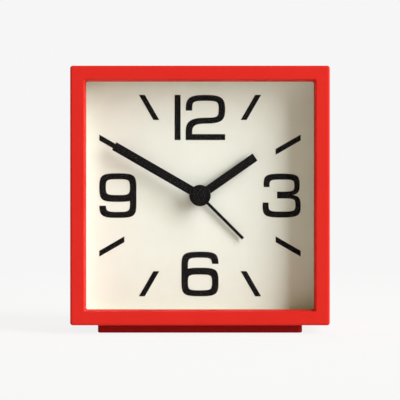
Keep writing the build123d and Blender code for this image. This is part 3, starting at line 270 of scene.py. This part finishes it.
# Green solder mask over a faint weave of glass cloth
def boardLaminate():
    look = dict(colour=(0.020, 0.135, 0.048), deepColour=(0.012, 0.088, 0.032), weaveSize=0.5 * mm,
                cloudSize=5 * mm, gloss=(0.26, 0.40), relief=0.006 * mm)
    finish, tree, shader, place = startFinish("boardLaminate")
    weave = tree.nodes.new("ShaderNodeTexChecker")
    weave.inputs["Scale"].default_value = 1 / look["weaveSize"]
    tree.links.new(place, weave.inputs["Vector"])
    clouds = grain(tree, place, look["cloudSize"])
    paint(tree, shader, clouds, look)
    polish(tree, shader, clouds, look)
    relief(tree, shader, weave.outputs["Fac"], look["relief"])
    return finish


finishes["boardLaminate"] = boardLaminate()


# Ribbed rubber under the foot
def padRubber():
    look = dict(colour=(0.030, 0.029, 0.028), deepColour=(0.020, 0.019, 0.019), ribPitch=1.2 * mm,
                cloudSize=2 * mm, gloss=(0.74, 0.90), relief=0.12 * mm)
    finish, tree, shader, place = startFinish("padRubber")
    clouds = grain(tree, place, look["cloudSize"], detail=4.0)
    paint(tree, shader, clouds, look)
    polish(tree, shader, clouds, look)
    relief(tree, shader, waves(tree, place, "X", look["ribPitch"]), look["relief"])
    return finish


finishes["padRubber"] = padRubber()


# Dry cell: bare steel at both ends and a printed sleeve with one broad band between them
def cellSleeve():
    look = dict(steel=(0.62, 0.62, 0.61), sleeve=(0.30, 0.315, 0.33), band=(0.030, 0.165, 0.190),
                minusEnd=1.1 * mm, plusEnd=2.42 * mm, bandShares=(0.62, 0.86), grainSize=0.3 * mm,
                gloss=(0.24, 0.38), relief=0.004 * mm)
    low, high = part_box("battery")
    length = high.x - low.x
    edges = [
        (0.0, look["steel"], 1.0),
        (look["minusEnd"] / length, look["sleeve"], 0.0),
        (look["bandShares"][0], look["band"], 0.0),
        (look["bandShares"][1], look["sleeve"], 0.0),
        (1 - look["plusEnd"] / length, look["steel"], 1.0),
    ]  # where each stretch starts, its colour, and whether it is bare metal
    finish, tree, shader, place = startFinish("cellSleeve")
    split = tree.nodes.new("ShaderNodeSeparateXYZ")
    tree.links.new(place, split.inputs[0])
    along = spread(tree, split.outputs["X"], 0.0, 1.0, low.x, high.x)
    ramps = []
    for metal in (False, True):
        ramp = tree.nodes.new("ShaderNodeValToRGB")
        ramp.color_ramp.interpolation = "CONSTANT"
        while len(ramp.color_ramp.elements) < len(edges):
            ramp.color_ramp.elements.new(1.0)
        for element, (start, colour, bare) in zip(ramp.color_ramp.elements, edges):
            element.position = start
            element.color = (bare, bare, bare, 1) if metal else (*colour, 1)
        tree.links.new(along, ramp.inputs["Fac"])
        ramps.append(ramp.outputs["Color"])
    fine = grain(tree, place, look["grainSize"])
    tree.links.new(ramps[0], shader.inputs["Base Color"])
    tree.links.new(ramps[1], shader.inputs["Metallic"])
    polish(tree, shader, fine, look)
    relief(tree, shader, fine, look["relief"])
    return finish


finishes["cellSleeve"] = cellSleeve()
print("finishes made:", len(finishes))

# Which finish each solid wears
wornBy = {
    "redPlastic": ["front_bezel", "case_body"],
    # the foot wears the case's red darkened with painted shade
    "footRedPaintedShade": ["base_foot"],
    "padRubber": ["foot_pad"],
    "lensAcrylic": ["lens"],
    "spacerCard": ["dial_spacer"],
    "dialCard": ["dial_plate"],
    "dialInk": ["dial_markings"],
    "handPaint": ["minute_hand", "hour_hand", "alarm_hand"],
    "capGloss": ["hand_cap"],
    "blackPlastic": ["rear_cover", "battery_door", "snooze_button", "alarm_slider", "time_set_knob",
                     "alarm_set_knob", "buzzer", "snooze_switch"],
    "housingGrey": ["movement_front", "movement_back"],
    "gearWhite": ["hour_wheel", "motion_wheel", "third_wheel", "second_wheel", "rotor_pinion",
                  "time_set_shaft"],
    "gearAmber": ["alarm_wheel", "alarm_set_shaft", "center_wheel"],
    "shaftBrass": ["minute_arbor"],
    "springBrass": ["clutch_washer", "alarm_contact", "slider_wiper"],
    "laminationSteel": ["motor_stator", "coil_core"],
    "magnetFerrite": ["rotor_magnet"],
    "bobbinNylon": ["coil_bobbin", "switch_plunger"],
    "woundCopper": ["motor_coil"],
    "boardLaminate": ["circuit_board"],
    "chipResin": ["control_chip"],
    "crystalCan": ["quartz_crystal"],
    "contactSteel": ["positive_contact", "negative_contact"],
    "cellSleeve": ["battery"],
    "screwSteel": ["rear_cover_screws", "housing_screws", "movement_screws"],
}
for finishName, nodeNames in wornBy.items():
    for nodeName in nodeNames:
        mesh = clockNodes[nodeName].data
        mesh.materials.clear()
        mesh.materials.append(finishes[finishName])
print("solids dressed:", sum(len(names) for names in wornBy.values()))


# Outlines drawn flat, given a thickness and a soft edge, then placed in the clock's frame

def drawnPiece(name, loops, thickness, rounding=0.0):
    curve = bpy.data.curves.new(name, "CURVE")
    curve.dimensions = "2D"
    curve.fill_mode = "BOTH"
    curve.extrude = thickness / 2 - rounding
    curve.bevel_depth = rounding
    curve.bevel_resolution = 2
    curve.offset = -rounding
    for points in loops:
        spline = curve.splines.new("BEZIER")
        spline.bezier_points.add(len(points) - 1)
        for knot, (x, y) in zip(spline.bezier_points, points):
            knot.co = (x, y, 0)
            knot.handle_left_type = knot.handle_right_type = "VECTOR"
        spline.use_cyclic_u = True
    return bpy.data.objects.new(name, curve)


def wordPiece(name, word, size, thickness):
    letters = bpy.data.curves.new(name, "FONT")
    letters.body = word
    letters.size = size
    letters.extrude = thickness / 2
    letters.align_x = "CENTER"
    letters.align_y = "CENTER"
    return bpy.data.objects.new(name, letters)


weld = 0.001 * mm  # points of a turned piece closer than this become one


# A profile of (radius, height) pairs turned once round the height axis
def turnedPiece(name, profile, steps=72):
    mesh = bpy.data.meshes.new(name)
    shape = bmesh.new()
    rings = []
    for step in range(steps):
        angle = 2 * math.pi * step / steps
        rings.append([shape.verts.new((r * math.cos(angle), r * math.sin(angle), h)) for r, h in profile])
    for step in range(steps):
        here, after = rings[step], rings[(step + 1) % steps]
        for k in range(len(profile) - 1):
            shape.faces.new((here[k], after[k], after[k + 1], here[k + 1]))
    bmesh.ops.remove_doubles(shape, verts=shape.verts, dist=weld)
    bmesh.ops.recalc_face_normals(shape, faces=shape.faces)
    shape.to_mesh(mesh)
    shape.free()
    mesh.shade_smooth()
    return bpy.data.objects.new(name, mesh)


def polar(radius, angle):
    return (radius * math.cos(math.radians(angle)), radius * math.sin(math.radians(angle)))


def arcPoints(radius, startAngle, endAngle, steps):
    return [polar(radius, startAngle + (endAngle - startAngle) * k / steps) for k in range(steps + 1)]


# Turns for a flat drawing: to the clock's back as read from behind, and to its front as read from there
rearTurn = Matrix(((-1, 0, 0, 0), (0, 0, 1, 0), (0, 1, 0, 0), (0, 0, 0, 1)))
frontTurn = Matrix(((1, 0, 0, 0), (0, 0, -1, 0), (0, 1, 0, 0), (0, 0, 0, 1)))


def facingBack(x, y, z):
    return Matrix.Translation((x, y, z)) @ rearTurn


def facingFront(x, y, z):
    return Matrix.Translation((x, y, z)) @ frontTurn


# Makes a mesh of a drawing, sets it in its place on a body and gives it a finish
def fixPiece(piece, place, body, finishName):
    bpy.context.scene.collection.objects.link(piece)
    if piece.type != "MESH":
        drawing, name = piece, piece.name
        bpy.context.view_layer.update()
        shown = drawing.evaluated_get(bpy.context.evaluated_depsgraph_get())
        mesh = bpy.data.meshes.new_from_object(shown)
        bpy.data.objects.remove(drawing)
        piece = bpy.data.objects.new(name, mesh)
        bpy.context.scene.collection.objects.link(piece)
    piece.matrix_world = place
    piece.data.materials.clear()
    piece.data.materials.append(finishes[finishName])
    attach(piece, body)


def mouldPiece(piece, place, body):
    fixPiece(piece, place, body, "blackPlastic")


def steelPiece(piece, place):
    fixPiece(piece, place, "case", "contactSteel")


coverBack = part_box("rear_cover")[1].y
ink = 0.06 * mm  # thickness of a printed mark, half of it above the face


def printMark(piece, x, z, y=coverBack, body="case"):
    fixPiece(piece, facingBack(x, y, z), body, "markWhite")


def middleOf(node):
    low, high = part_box(node)
    return (low + high) / 2


# Raised collar round each setting knob
collar = dict(inner=7.1 * mm, outer=8.1 * mm, height=0.5 * mm, edge=0.2 * mm)
collarProfile = [
    (collar["inner"], -collar["edge"]),
    (collar["inner"], collar["height"] - collar["edge"]),
    (collar["inner"] + collar["edge"], collar["height"]),
    (collar["outer"] - collar["edge"], collar["height"]),
    (collar["outer"], collar["height"] - collar["edge"]),
    (collar["outer"], -collar["edge"]),
]
knobMiddles = {"time": middleOf("time_set_knob"), "alarm": middleOf("alarm_set_knob")}
for name, middle in knobMiddles.items():
    ring = turnedPiece(name + "KnobCollar", collarProfile)
    mouldPiece(ring, facingBack(middle.x, coverBack, middle.z), "case")

# In each knob's dished end, a moulded bar to turn it by and a printed line that shows where it points
knobEnd = dict(dishDepth=0.6 * mm, barLength=8.2 * mm, barWidth=1.3 * mm, barHeight=0.9 * mm,
               rounding=0.2 * mm)
pointer = dict(length=2.2 * mm, width=0.5 * mm, reach=2.7 * mm)


def barOutline(length, width, upright=False):
    bend = [(length / 2 - width / 2 + x, y) for x, y in arcPoints(width / 2, -90, 90, steps=8)]
    outline = bend + [(-x, -y) for x, y in bend]
    return [(-y, x) for x, y in outline] if upright else outline


knobBarOutline = barOutline(knobEnd["barLength"], knobEnd["barWidth"], upright=True)
pointerOutline = barOutline(pointer["length"], pointer["width"], upright=True)
for name, middle in knobMiddles.items():
    knobBody = name + "_setting"
    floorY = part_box(name + "_set_knob")[1].y - knobEnd["dishDepth"]
    bar = drawnPiece(name + "KnobBar", [knobBarOutline], knobEnd["barHeight"], knobEnd["rounding"])
    mouldPiece(bar, facingBack(middle.x, floorY, middle.z), knobBody)
    line = drawnPiece(name + "KnobPointer", [pointerOutline], ink)
    printMark(line, middle.x, middle.z + pointer["reach"], floorY + knobEnd["barHeight"] / 2, knobBody)

# Printed arc under each knob, with a head that shows which way to turn it
turnArrow = dict(radius=9.9 * mm, width=0.55 * mm, head=1.9 * mm, sweep=(228, 312))
arcStart, arcEnd = turnArrow["sweep"]
arcOutline = arcPoints(turnArrow["radius"] + turnArrow["width"] / 2, arcStart, arcEnd, steps=14)
arcOutline += arcPoints(turnArrow["radius"] - turnArrow["width"] / 2, arcEnd, arcStart, steps=14)
headOutline = [
    polar(turnArrow["radius"] - turnArrow["head"] / 2, arcEnd),
    polar(turnArrow["radius"] + turnArrow["head"] / 2, arcEnd),
    polar(turnArrow["radius"], arcEnd + math.degrees(turnArrow["head"] / turnArrow["radius"])),
]
for name, middle in knobMiddles.items():
    printMark(drawnPiece(name + "TurnArc", [arcOutline], ink), middle.x, middle.z)
    printMark(drawnPiece(name + "TurnHead", [headOutline], ink), middle.x, middle.z)

# Printed bell over the alarm knob: dome, flared mouth and clapper
bell = dict(dome=1.5 * mm, flare=0.9 * mm, waist=2.9 * mm, rise=11.6 * mm, clapper=0.7 * mm, gap=0.3 * mm)
bellX, bellZ = knobMiddles["alarm"].x, knobMiddles["alarm"].z + bell["rise"]
mouth = bell["dome"] + bell["flare"]
flare = [(mouth + x, bell["flare"] + y) for x, y in arcPoints(bell["flare"], 270, 180, steps=8)]
dome = [(x, bell["waist"] + y) for x, y in arcPoints(bell["dome"], 0, 180, steps=20)]
bellOutline = flare + dome + [(-x, y) for x, y in reversed(flare)]
printMark(drawnPiece("bellMark", [bellOutline], ink), bellX, bellZ)
clapper = arcPoints(bell["clapper"], 180, 360, steps=8)
printMark(drawnPiece("bellClapper", [clapper], ink), bellX, bellZ - bell["gap"])

# Printed clock face over the time knob: ring and two hands
clockMark = dict(radius=2.5 * mm, ring=0.5 * mm, rise=13.5 * mm, hand=0.42 * mm, upReach=1.55 * mm,
                 sideReach=1.2 * mm)
clockX, clockZ = knobMiddles["time"].x, knobMiddles["time"].z + clockMark["rise"]
ringRadii = (clockMark["radius"], clockMark["radius"] - clockMark["ring"])
ringLoops = [arcPoints(radius, 0, 350, steps=35) for radius in ringRadii]  # each loop closes itself
printMark(drawnPiece("clockRing", ringLoops, ink), clockX, clockZ)
half = clockMark["hand"] / 2
clockHands = [
    (-half, -half),
    (clockMark["sideReach"], -half),
    (clockMark["sideReach"], half),
    (half, half),
    (half, clockMark["upReach"]),
    (-half, clockMark["upReach"]),
]
printMark(drawnPiece("clockHands", [clockHands], ink), clockX, clockZ)

# Printed words beside the alarm slider: it is off at one end and on at the other
sliderWords = dict(size=2.3 * mm, apart=5.6 * mm, drop=4.9 * mm)
slideTravel = 4 * mm  # as far as the slider's joint lets it go
sliderMiddle = middleOf("alarm_slider")
slotMiddle = sliderMiddle.x + slideTravel / 2
for word, side in (("ON", 1), ("OFF", -1)):
    letters = wordPiece("sliderWord" + word.title(), word, sliderWords["size"], ink)
    printMark(letters, slotMiddle + side * sliderWords["apart"], sliderMiddle.z - sliderWords["drop"])

# Printed crescent over the snooze button: a round with a smaller round bitten out of it
crescent = dict(radius=2.1 * mm, bite=1.75 * mm, shift=1.0 * mm, rise=7.3 * mm)
snoozeMiddle = middleOf("snooze_button")
meet = (crescent["radius"] ** 2 - crescent["bite"] ** 2 + crescent["shift"] ** 2) / (2 * crescent["shift"])
outerAngle = math.degrees(math.acos(meet / crescent["radius"]))
biteAngle = math.degrees(math.acos((meet - crescent["shift"]) / crescent["bite"]))
moon = arcPoints(crescent["radius"], outerAngle, 360 - outerAngle, steps=28)
biteArc = arcPoints(crescent["bite"], 360 - biteAngle, biteAngle, steps=22)[1:-1]
moon += [(x + crescent["shift"], y) for x, y in biteArc]
printMark(drawnPiece("snoozeMoon", [moon], ink), snoozeMiddle.x, snoozeMiddle.z + crescent["rise"])

# Moulded grip bars across the snooze button
gripBar = dict(length=20 * mm, width=0.9 * mm, height=0.7 * mm, pitch=1.9 * mm, rounding=0.22 * mm)
gripOutline = barOutline(gripBar["length"], gripBar["width"])
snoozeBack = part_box("snooze_button")[1].y
for k in (-1, 0, 1):
    bar = drawnPiece("snoozeGrip", [gripOutline], gripBar["height"], gripBar["rounding"])
    barZ = snoozeMiddle.z + k * gripBar["pitch"]
    mouldPiece(bar, facingBack(snoozeMiddle.x, snoozeBack, barZ), "snooze_press")

# Battery door: moulded grip ridges and an arrow on its outside, and the cell's rating printed beside them
doorLow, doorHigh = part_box("battery_door")
doorMiddle = (doorLow + doorHigh) / 2
ridge = dict(count=4, length=12 * mm, width=0.8 * mm, height=0.6 * mm, pitch=1.7 * mm, rounding=0.18 * mm,
             inset=4.4 * mm)
ridgeOutline = barOutline(ridge["length"], ridge["width"])
for k in range(ridge["count"]):
    bar = drawnPiece("doorRidge", [ridgeOutline], ridge["height"], ridge["rounding"])
    ridgeZ = doorHigh.z - ridge["inset"] - k * ridge["pitch"]
    mouldPiece(bar, facingBack(doorMiddle.x, coverBack, ridgeZ), "battery_door_body")
pull = dict(width=3.4 * mm, height=2.3 * mm, thickness=0.5 * mm, rounding=0.15 * mm, drop=5.2 * mm)
pullOutline = [(-pull["width"] / 2, pull["height"]), (pull["width"] / 2, pull["height"]), (0, 0)]
arrow = drawnPiece("doorArrow", [pullOutline], pull["thickness"], pull["rounding"])
mouldPiece(arrow, facingBack(doorMiddle.x, coverBack, doorMiddle.z - pull["drop"]), "battery_door_body")
rating = dict(word="1.5V AA", size=2.2 * mm, aside=19 * mm)
letters = wordPiece("cellRating", rating["word"], rating["size"], ink)
printMark(letters, doorMiddle.x - rating["aside"], doorMiddle.z, coverBack, "battery_door_body")

# Inside the door, how the cell goes in: its outline, and a plus and a minus at its ends
cellDrawing = dict(length=30 * mm, width=8.4 * mm, line=0.5 * mm, nubLength=1.4 * mm, nubWidth=3.2 * mm,
                   sign=2.4 * mm, signLine=0.6 * mm, signInset=3.84 * mm)


def printInside(name, loops, aside):
    place = facingFront(doorMiddle.x + aside, doorLow.y, doorMiddle.z)
    fixPiece(drawnPiece(name, loops, ink), place, "battery_door_body", "markWhite")


def boxLoop(width, height):
    x, y = width / 2, height / 2
    return [(-x, -y), (x, -y), (x, y), (-x, y)]


def plusLoop(size, line):
    arm, half = size / 2, line / 2
    quarter = [(arm, -half), (arm, half), (half, half)]
    loop = []
    for cosTurn, sinTurn in ((1, 0), (0, 1), (-1, 0), (0, -1)):
        loop += [(x * cosTurn - y * sinTurn, x * sinTurn + y * cosTurn) for x, y in quarter]
    return loop


cellEnd = cellDrawing["length"] / 2
signAside = cellEnd - cellDrawing["signInset"]
innerLength = cellDrawing["length"] - 2 * cellDrawing["line"]
innerWidth = cellDrawing["width"] - 2 * cellDrawing["line"]
cellLoops = [boxLoop(cellDrawing["length"], cellDrawing["width"]), boxLoop(innerLength, innerWidth)]
nubLoop = boxLoop(cellDrawing["nubLength"], cellDrawing["nubWidth"])
printInside("cellOutline", cellLoops, 0)
printInside("cellNub", [nubLoop], cellEnd + cellDrawing["nubLength"] / 2)
printInside("plusSign", [plusLoop(cellDrawing["sign"], cellDrawing["signLine"])], signAside)
printInside("minusSign", [boxLoop(cellDrawing["sign"], cellDrawing["signLine"])], -signAside)
print("rear marks and grips placed")

# Circuit board: legs of the chip, bent from half its height down to flat feet
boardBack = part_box("circuit_board")[1].y
chipLow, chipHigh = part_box("control_chip")
chipMiddle = (chipLow + chipHigh) / 2
chipLeg = dict(count=5, pitch=1.2 * mm, width=0.45 * mm, reach=1.3 * mm, thick=0.15 * mm, rise=0.6 * mm,
               seat=0.1 * mm, kneeShare=0.35, ankleShare=0.60)


def legOutline():
    reach, thick, rise, seat = [chipLeg[size] for size in ("reach", "thick", "rise", "seat")]
    knee, ankle = chipLeg["kneeShare"] * reach, chipLeg["ankleShare"] * reach
    upper = [(-seat, rise), (knee, rise), (ankle, thick), (reach, thick)]
    lower = [(reach, 0), (ankle - thick / 2, 0), (knee - thick / 2, rise - thick), (-seat, rise - thick)]
    return upper + lower


legEnds = {}
for side, edge in ((1, chipHigh.x), (-1, chipLow.x)):
    turn = Matrix.Rotation(0 if side > 0 else math.pi, 4, "Y")
    for k in range(chipLeg["count"]):
        z = chipMiddle.z + (k - (chipLeg["count"] - 1) / 2) * chipLeg["pitch"]
        leg = drawnPiece("chipLeg", [legOutline()], chipLeg["width"])
        steelPiece(leg, Matrix.Translation((edge, boardBack, z)) @ turn)
        legEnds[side, k] = (edge + side * chipLeg["reach"], z)

# Leads of the crystal, splayed from its can down to the board
crystalMiddle = middleOf("quartz_crystal")
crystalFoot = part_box("quartz_crystal")[0].z
lead = dict(radius=0.16 * mm, apart=0.4 * mm, splay=0.8 * mm, drop=1.5 * mm, straight=0.6 * mm)


def leadWire(name, side):
    curve = bpy.data.curves.new(name, "CURVE")
    curve.dimensions = "3D"
    curve.bevel_depth = lead["radius"]
    curve.use_fill_caps = True
    x, y, z = crystalMiddle.x, crystalMiddle.y, crystalFoot
    path = [
        (x + side * lead["apart"], y, z + lead["radius"]),
        (x + side * lead["apart"], y, z - lead["straight"]),
        (x + side * lead["splay"], boardBack, z - lead["drop"]),
    ]
    spline = curve.splines.new("BEZIER")
    spline.bezier_points.add(len(path) - 1)
    for knot, place in zip(spline.bezier_points, path):
        knot.co = place
        knot.handle_left_type = knot.handle_right_type = "AUTO"
    return bpy.data.objects.new(name, curve)


leadEnds = {}
for side, name in ((1, "crystalLeadRight"), (-1, "crystalLeadLeft")):
    steelPiece(leadWire(name, side), Matrix.Identity(4))
    leadEnds[side] = (crystalMiddle.x + side * lead["splay"], crystalFoot - lead["drop"])

# Pads under the alarm slider's wiper: it rests on the common one at both ends, and bridges the two when on
wiperLow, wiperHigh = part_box("slider_wiper")
wiperPad = dict(gap=1.0 * mm, thickness=0.12 * mm)
padSpans = {
    "Common": (wiperLow.x + slideTravel, wiperHigh.x),
    "On": (wiperHigh.x + wiperPad["gap"], wiperHigh.x + slideTravel),
}
padHeight, padZ = wiperHigh.z - wiperLow.z, (wiperLow.z + wiperHigh.z) / 2
padMiddles = {}
for name, (padStart, padEnd) in padSpans.items():
    pad = drawnPiece("wiperPad" + name, [boxLoop(padEnd - padStart, padHeight)], wiperPad["thickness"])
    padX = (padStart + padEnd) / 2
    fixPiece(pad, facingFront(padX, boardBack, padZ), "case", "springBrass")
    padMiddles[name] = (padX, padZ)

# Copper lines under the green mask, between chip, crystal, pads, switch and cell, with slanting corners
copper = dict(
    width=0.4 * mm,
    cut=1.6 * mm,
    supplyLane=23.6 * mm,
    onLane=8.4 * mm,
    switchLane=21.8 * mm,
    crystalLanes=((8.6 * mm, -10.2 * mm), (9.6 * mm, -15.8 * mm)),
    crystalRises=(67.8 * mm, 68.8 * mm),
    groundRise=33.5 * mm,
    switchAside=3.5 * mm,
    switchRise=1.8 * mm,
    supplyLeg=0,
    onLeg=0,
    switchLeg=4,
    crystalLegs=(3, 4),
)


# A line of one width along some points, with mitred corners
def strokeOutline(points, width):
    knots = [Vector(point) for point in points]
    runs = [(after - before).normalized() for before, after in zip(knots, knots[1:])]
    sides = [Vector((-run.y, run.x)) for run in runs]
    near, far = [], []
    for k, knot in enumerate(knots):
        before, after = sides[max(k - 1, 0)], sides[min(k, len(sides) - 1)]
        mitre = (before + after).normalized()
        reach = mitre * (width / 2 / mitre.dot(before))
        near.append(tuple(knot + reach))
        far.append(tuple(knot - reach))
    return near + far[::-1]


# Along an upright lane between two points, entered and left at half a right angle
def lanePath(start, end, lane):
    up = 1 if end[1] > start[1] else -1
    entry = (lane, start[1] + up * abs(lane - start[0]))
    leave = (lane, end[1] - up * abs(lane - end[0]))
    return [start, entry, leave, end]


# Up a lane, then round its corner towards one side at a given rise
def hookPath(start, lane, rise, towards):
    entry = (lane, start[1] + abs(lane - start[0]))
    return [start, entry, (lane, rise - copper["cut"]), (lane + towards * copper["cut"], rise)]


# End of the tail that a contact of the cell lays on the board
def tailOf(contact):
    low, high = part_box(contact)
    outer = high.x if high.x > 0 else low.x
    inset = copper["width"] / 2
    return (outer - math.copysign(inset, outer), high.z - inset)


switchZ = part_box("snooze_switch")[0].z + copper["switchRise"]
plusTail, minusTail = tailOf("positive_contact"), tailOf("negative_contact")
commonX, groundZ = padMiddles["Common"][0], copper["groundRise"]
copperPaths = [
    lanePath(legEnds[1, copper["supplyLeg"]], plusTail, copper["supplyLane"]),
    lanePath(legEnds[-1, copper["onLeg"]], padMiddles["On"], copper["onLane"]),
    hookPath(legEnds[1, copper["switchLeg"]], copper["switchLane"], switchZ, -1)
    + [(copper["switchAside"], switchZ)],
    [
        padMiddles["Common"],
        (commonX, groundZ + copper["cut"]),
        (commonX - copper["cut"], groundZ),
        (minusTail[0] + groundZ - minusTail[1], groundZ),
        minusTail,
    ],
]
crystalLines = zip(copper["crystalLegs"], (1, -1), copper["crystalLanes"], copper["crystalRises"])
for leg, side, lanes, rise in crystalLines:
    fromChip = hookPath(legEnds[-1, leg], lanes[0], rise, -1)
    fromCrystal = hookPath(leadEnds[side], lanes[1], rise, 1)
    copperPaths.append(fromChip + fromCrystal[::-1])
lines = drawnPiece("boardLines", [strokeOutline(path, copper["width"]) for path in copperPaths], ink)
fixPiece(lines, facingFront(0, boardBack, 0), "case", "boardCopper")

# Solder round the leads, the contacts' tails and the switch's legs
solder = dict(radius=0.55 * mm, height=0.5 * mm, sunk=0.1 * mm, steps=24)
flatness = solder["height"] / solder["radius"]
solderProfile = [(solder["radius"], -solder["sunk"])]
solderProfile += [(x, y * flatness) for x, y in arcPoints(solder["radius"], 0, 90, steps=6)]
solderPlaces = [*leadEnds.values(), plusTail, minusTail]
solderPlaces += [(side * copper["switchAside"], switchZ) for side in (-1, 1)]
for x, z in solderPlaces:
    drop = turnedPiece("solderDrop", solderProfile, solder["steps"])
    steelPiece(drop, facingBack(x, boardBack, z))
print("board fitted:", len(copperPaths), "copper lines")

# Studio: a pale floor, a surround that is dim in front, and a broad wall of soft light ahead on the right
studio = dict(
    white=0.922,  # strength of the background
    floorSize=6.0,
    floorColour=(0.86, 0.86, 0.86),
    floorRoughness=0.9,
    floorShade=0.12,  # share of real shade close to the clock
    floorGlow=0.97,  # strength close to the clock, to make up for the shade
    shadeReach=(0.10, 0.45),  # distances between which the shade runs out
    surroundTurn=(0.15, 0.75),  # how far towards the back it starts and ends to brighten
    surroundGlow=(0.18, 0.95),
    surroundColours=((1.0, 0.91, 0.42), (1.0, 0.99, 0.97)),
    keyAhead=1.8,
    keyRightShares=(0.77, 3.60),  # of the lamp's distance ahead, as are the next
    keyUpShares=(0.12, 2.90),
    keyGlow=7.9,
)
backgroundRays = ("Is Camera Ray", "Is Glossy Ray", "Is Transmission Ray")  # these see plain white


# The floor is as white as the background, and takes some real shade close to the clock
def paleFloor():
    mesh = bpy.data.meshes.new("paleFloor")
    shape = bmesh.new()
    bmesh.ops.create_circle(shape, cap_ends=True, segments=96, radius=studio["floorSize"])
    shape.to_mesh(mesh)
    shape.free()
    floor = bpy.data.objects.new("paleFloor", mesh)
    bpy.context.scene.collection.objects.link(floor)
    finish, tree, plain, place = startFinish("paleFloor")
    plain.inputs["Base Color"].default_value = (*studio["floorColour"], 1)
    plain.inputs["Roughness"].default_value = studio["floorRoughness"]
    plain.inputs["Specular IOR Level"].default_value = 0.0
    distance = tree.nodes.new("ShaderNodeVectorMath")
    distance.operation = "LENGTH"
    tree.links.new(place, distance.inputs[0])
    away = distance.outputs["Value"]
    bright = tree.nodes.new("ShaderNodeEmission")
    bright.inputs["Color"].default_value = (1, 1, 1, 1)
    glow = spread(tree, away, studio["floorGlow"], studio["white"], *studio["shadeReach"])
    tree.links.new(glow, bright.inputs["Strength"])
    brightShare = tree.nodes.new("ShaderNodeMath")
    brightShare.operation = "MULTIPLY"
    tree.links.new(anyRay(tree, backgroundRays), brightShare.inputs[0])
    unshaded = spread(tree, away, 1 - studio["floorShade"], 1.0, *studio["shadeReach"])
    tree.links.new(unshaded, brightShare.inputs[1])
    mixTo(tree, brightShare.outputs[0], plain, bright, "Material Output")
    mesh.materials.append(finish)


# White to the eye, and soft light all round: dim and warm before the clock, plain and brighter behind it
def softSurround():
    world = bpy.data.worlds.new("softSurround")
    bpy.context.scene.world = world
    world.use_nodes = True
    tree = world.node_tree
    soft = tree.nodes["Background"]
    split = tree.nodes.new("ShaderNodeSeparateXYZ")
    tree.links.new(tree.nodes.new("ShaderNodeTexCoord").outputs["Generated"], split.inputs[0])
    behind = spread(tree, split.outputs["Y"], 0.0, 1.0, *studio["surroundTurn"])
    tree.links.new(tint(tree, behind, *studio["surroundColours"]), soft.inputs["Color"])
    tree.links.new(spread(tree, behind, *studio["surroundGlow"], 0.0, 1.0), soft.inputs["Strength"])
    white = tree.nodes.new("ShaderNodeBackground")
    white.inputs["Color"].default_value = (1, 1, 1, 1)
    white.inputs["Strength"].default_value = studio["white"]
    mixTo(tree, anyRay(tree, backgroundRays), soft, white, "World Output")


# The lamp stands square to the dial, from a little to its right to far along, and from low to high
def keyLamp():
    lamp = bpy.data.lights.new("keyLamp", "AREA")
    lamp.shape = "RECTANGLE"
    left, right = [share * studio["keyAhead"] for share in studio["keyRightShares"]]
    bottom, top = [share * studio["keyAhead"] for share in studio["keyUpShares"]]
    lamp.size, lamp.size_y = right - left, top - bottom
    lamp.energy = studio["keyGlow"] * math.pi * lamp.size * lamp.size_y
    holder = bpy.data.objects.new("keyLamp", lamp)
    bpy.context.scene.collection.objects.link(holder)
    holder.location = ((left + right) / 2, cadLow.y - studio["keyAhead"], (bottom + top) / 2)
    holder.rotation_euler = (math.pi / 2, 0, 0)


paleFloor()
softSurround()
keyLamp()
bpy.context.scene.view_settings.view_transform = "Standard"

# Camera straight in front of the dial, where the photograph was taken from
shot = dict(distance=550 * mm, height=46.54 * mm, viewWidth=138.46 * mm, sensor=36.0, clipStart=10 * mm)
camera = bpy.data.cameras.new("frontCamera")
camera.sensor_width = shot["sensor"]
camera.lens = shot["sensor"] * shot["distance"] / shot["viewWidth"]
camera.clip_start = shot["clipStart"]
cameraHolder = bpy.data.objects.new("frontCamera", camera)
cameraHolder.location = (0, cadLow.y - shot["distance"], shot["height"])
cameraHolder.rotation_euler = (math.pi / 2, 0, 0)
bpy.context.scene.collection.objects.link(cameraHolder)
bpy.context.scene.camera = cameraHolder
print("studio and camera set")
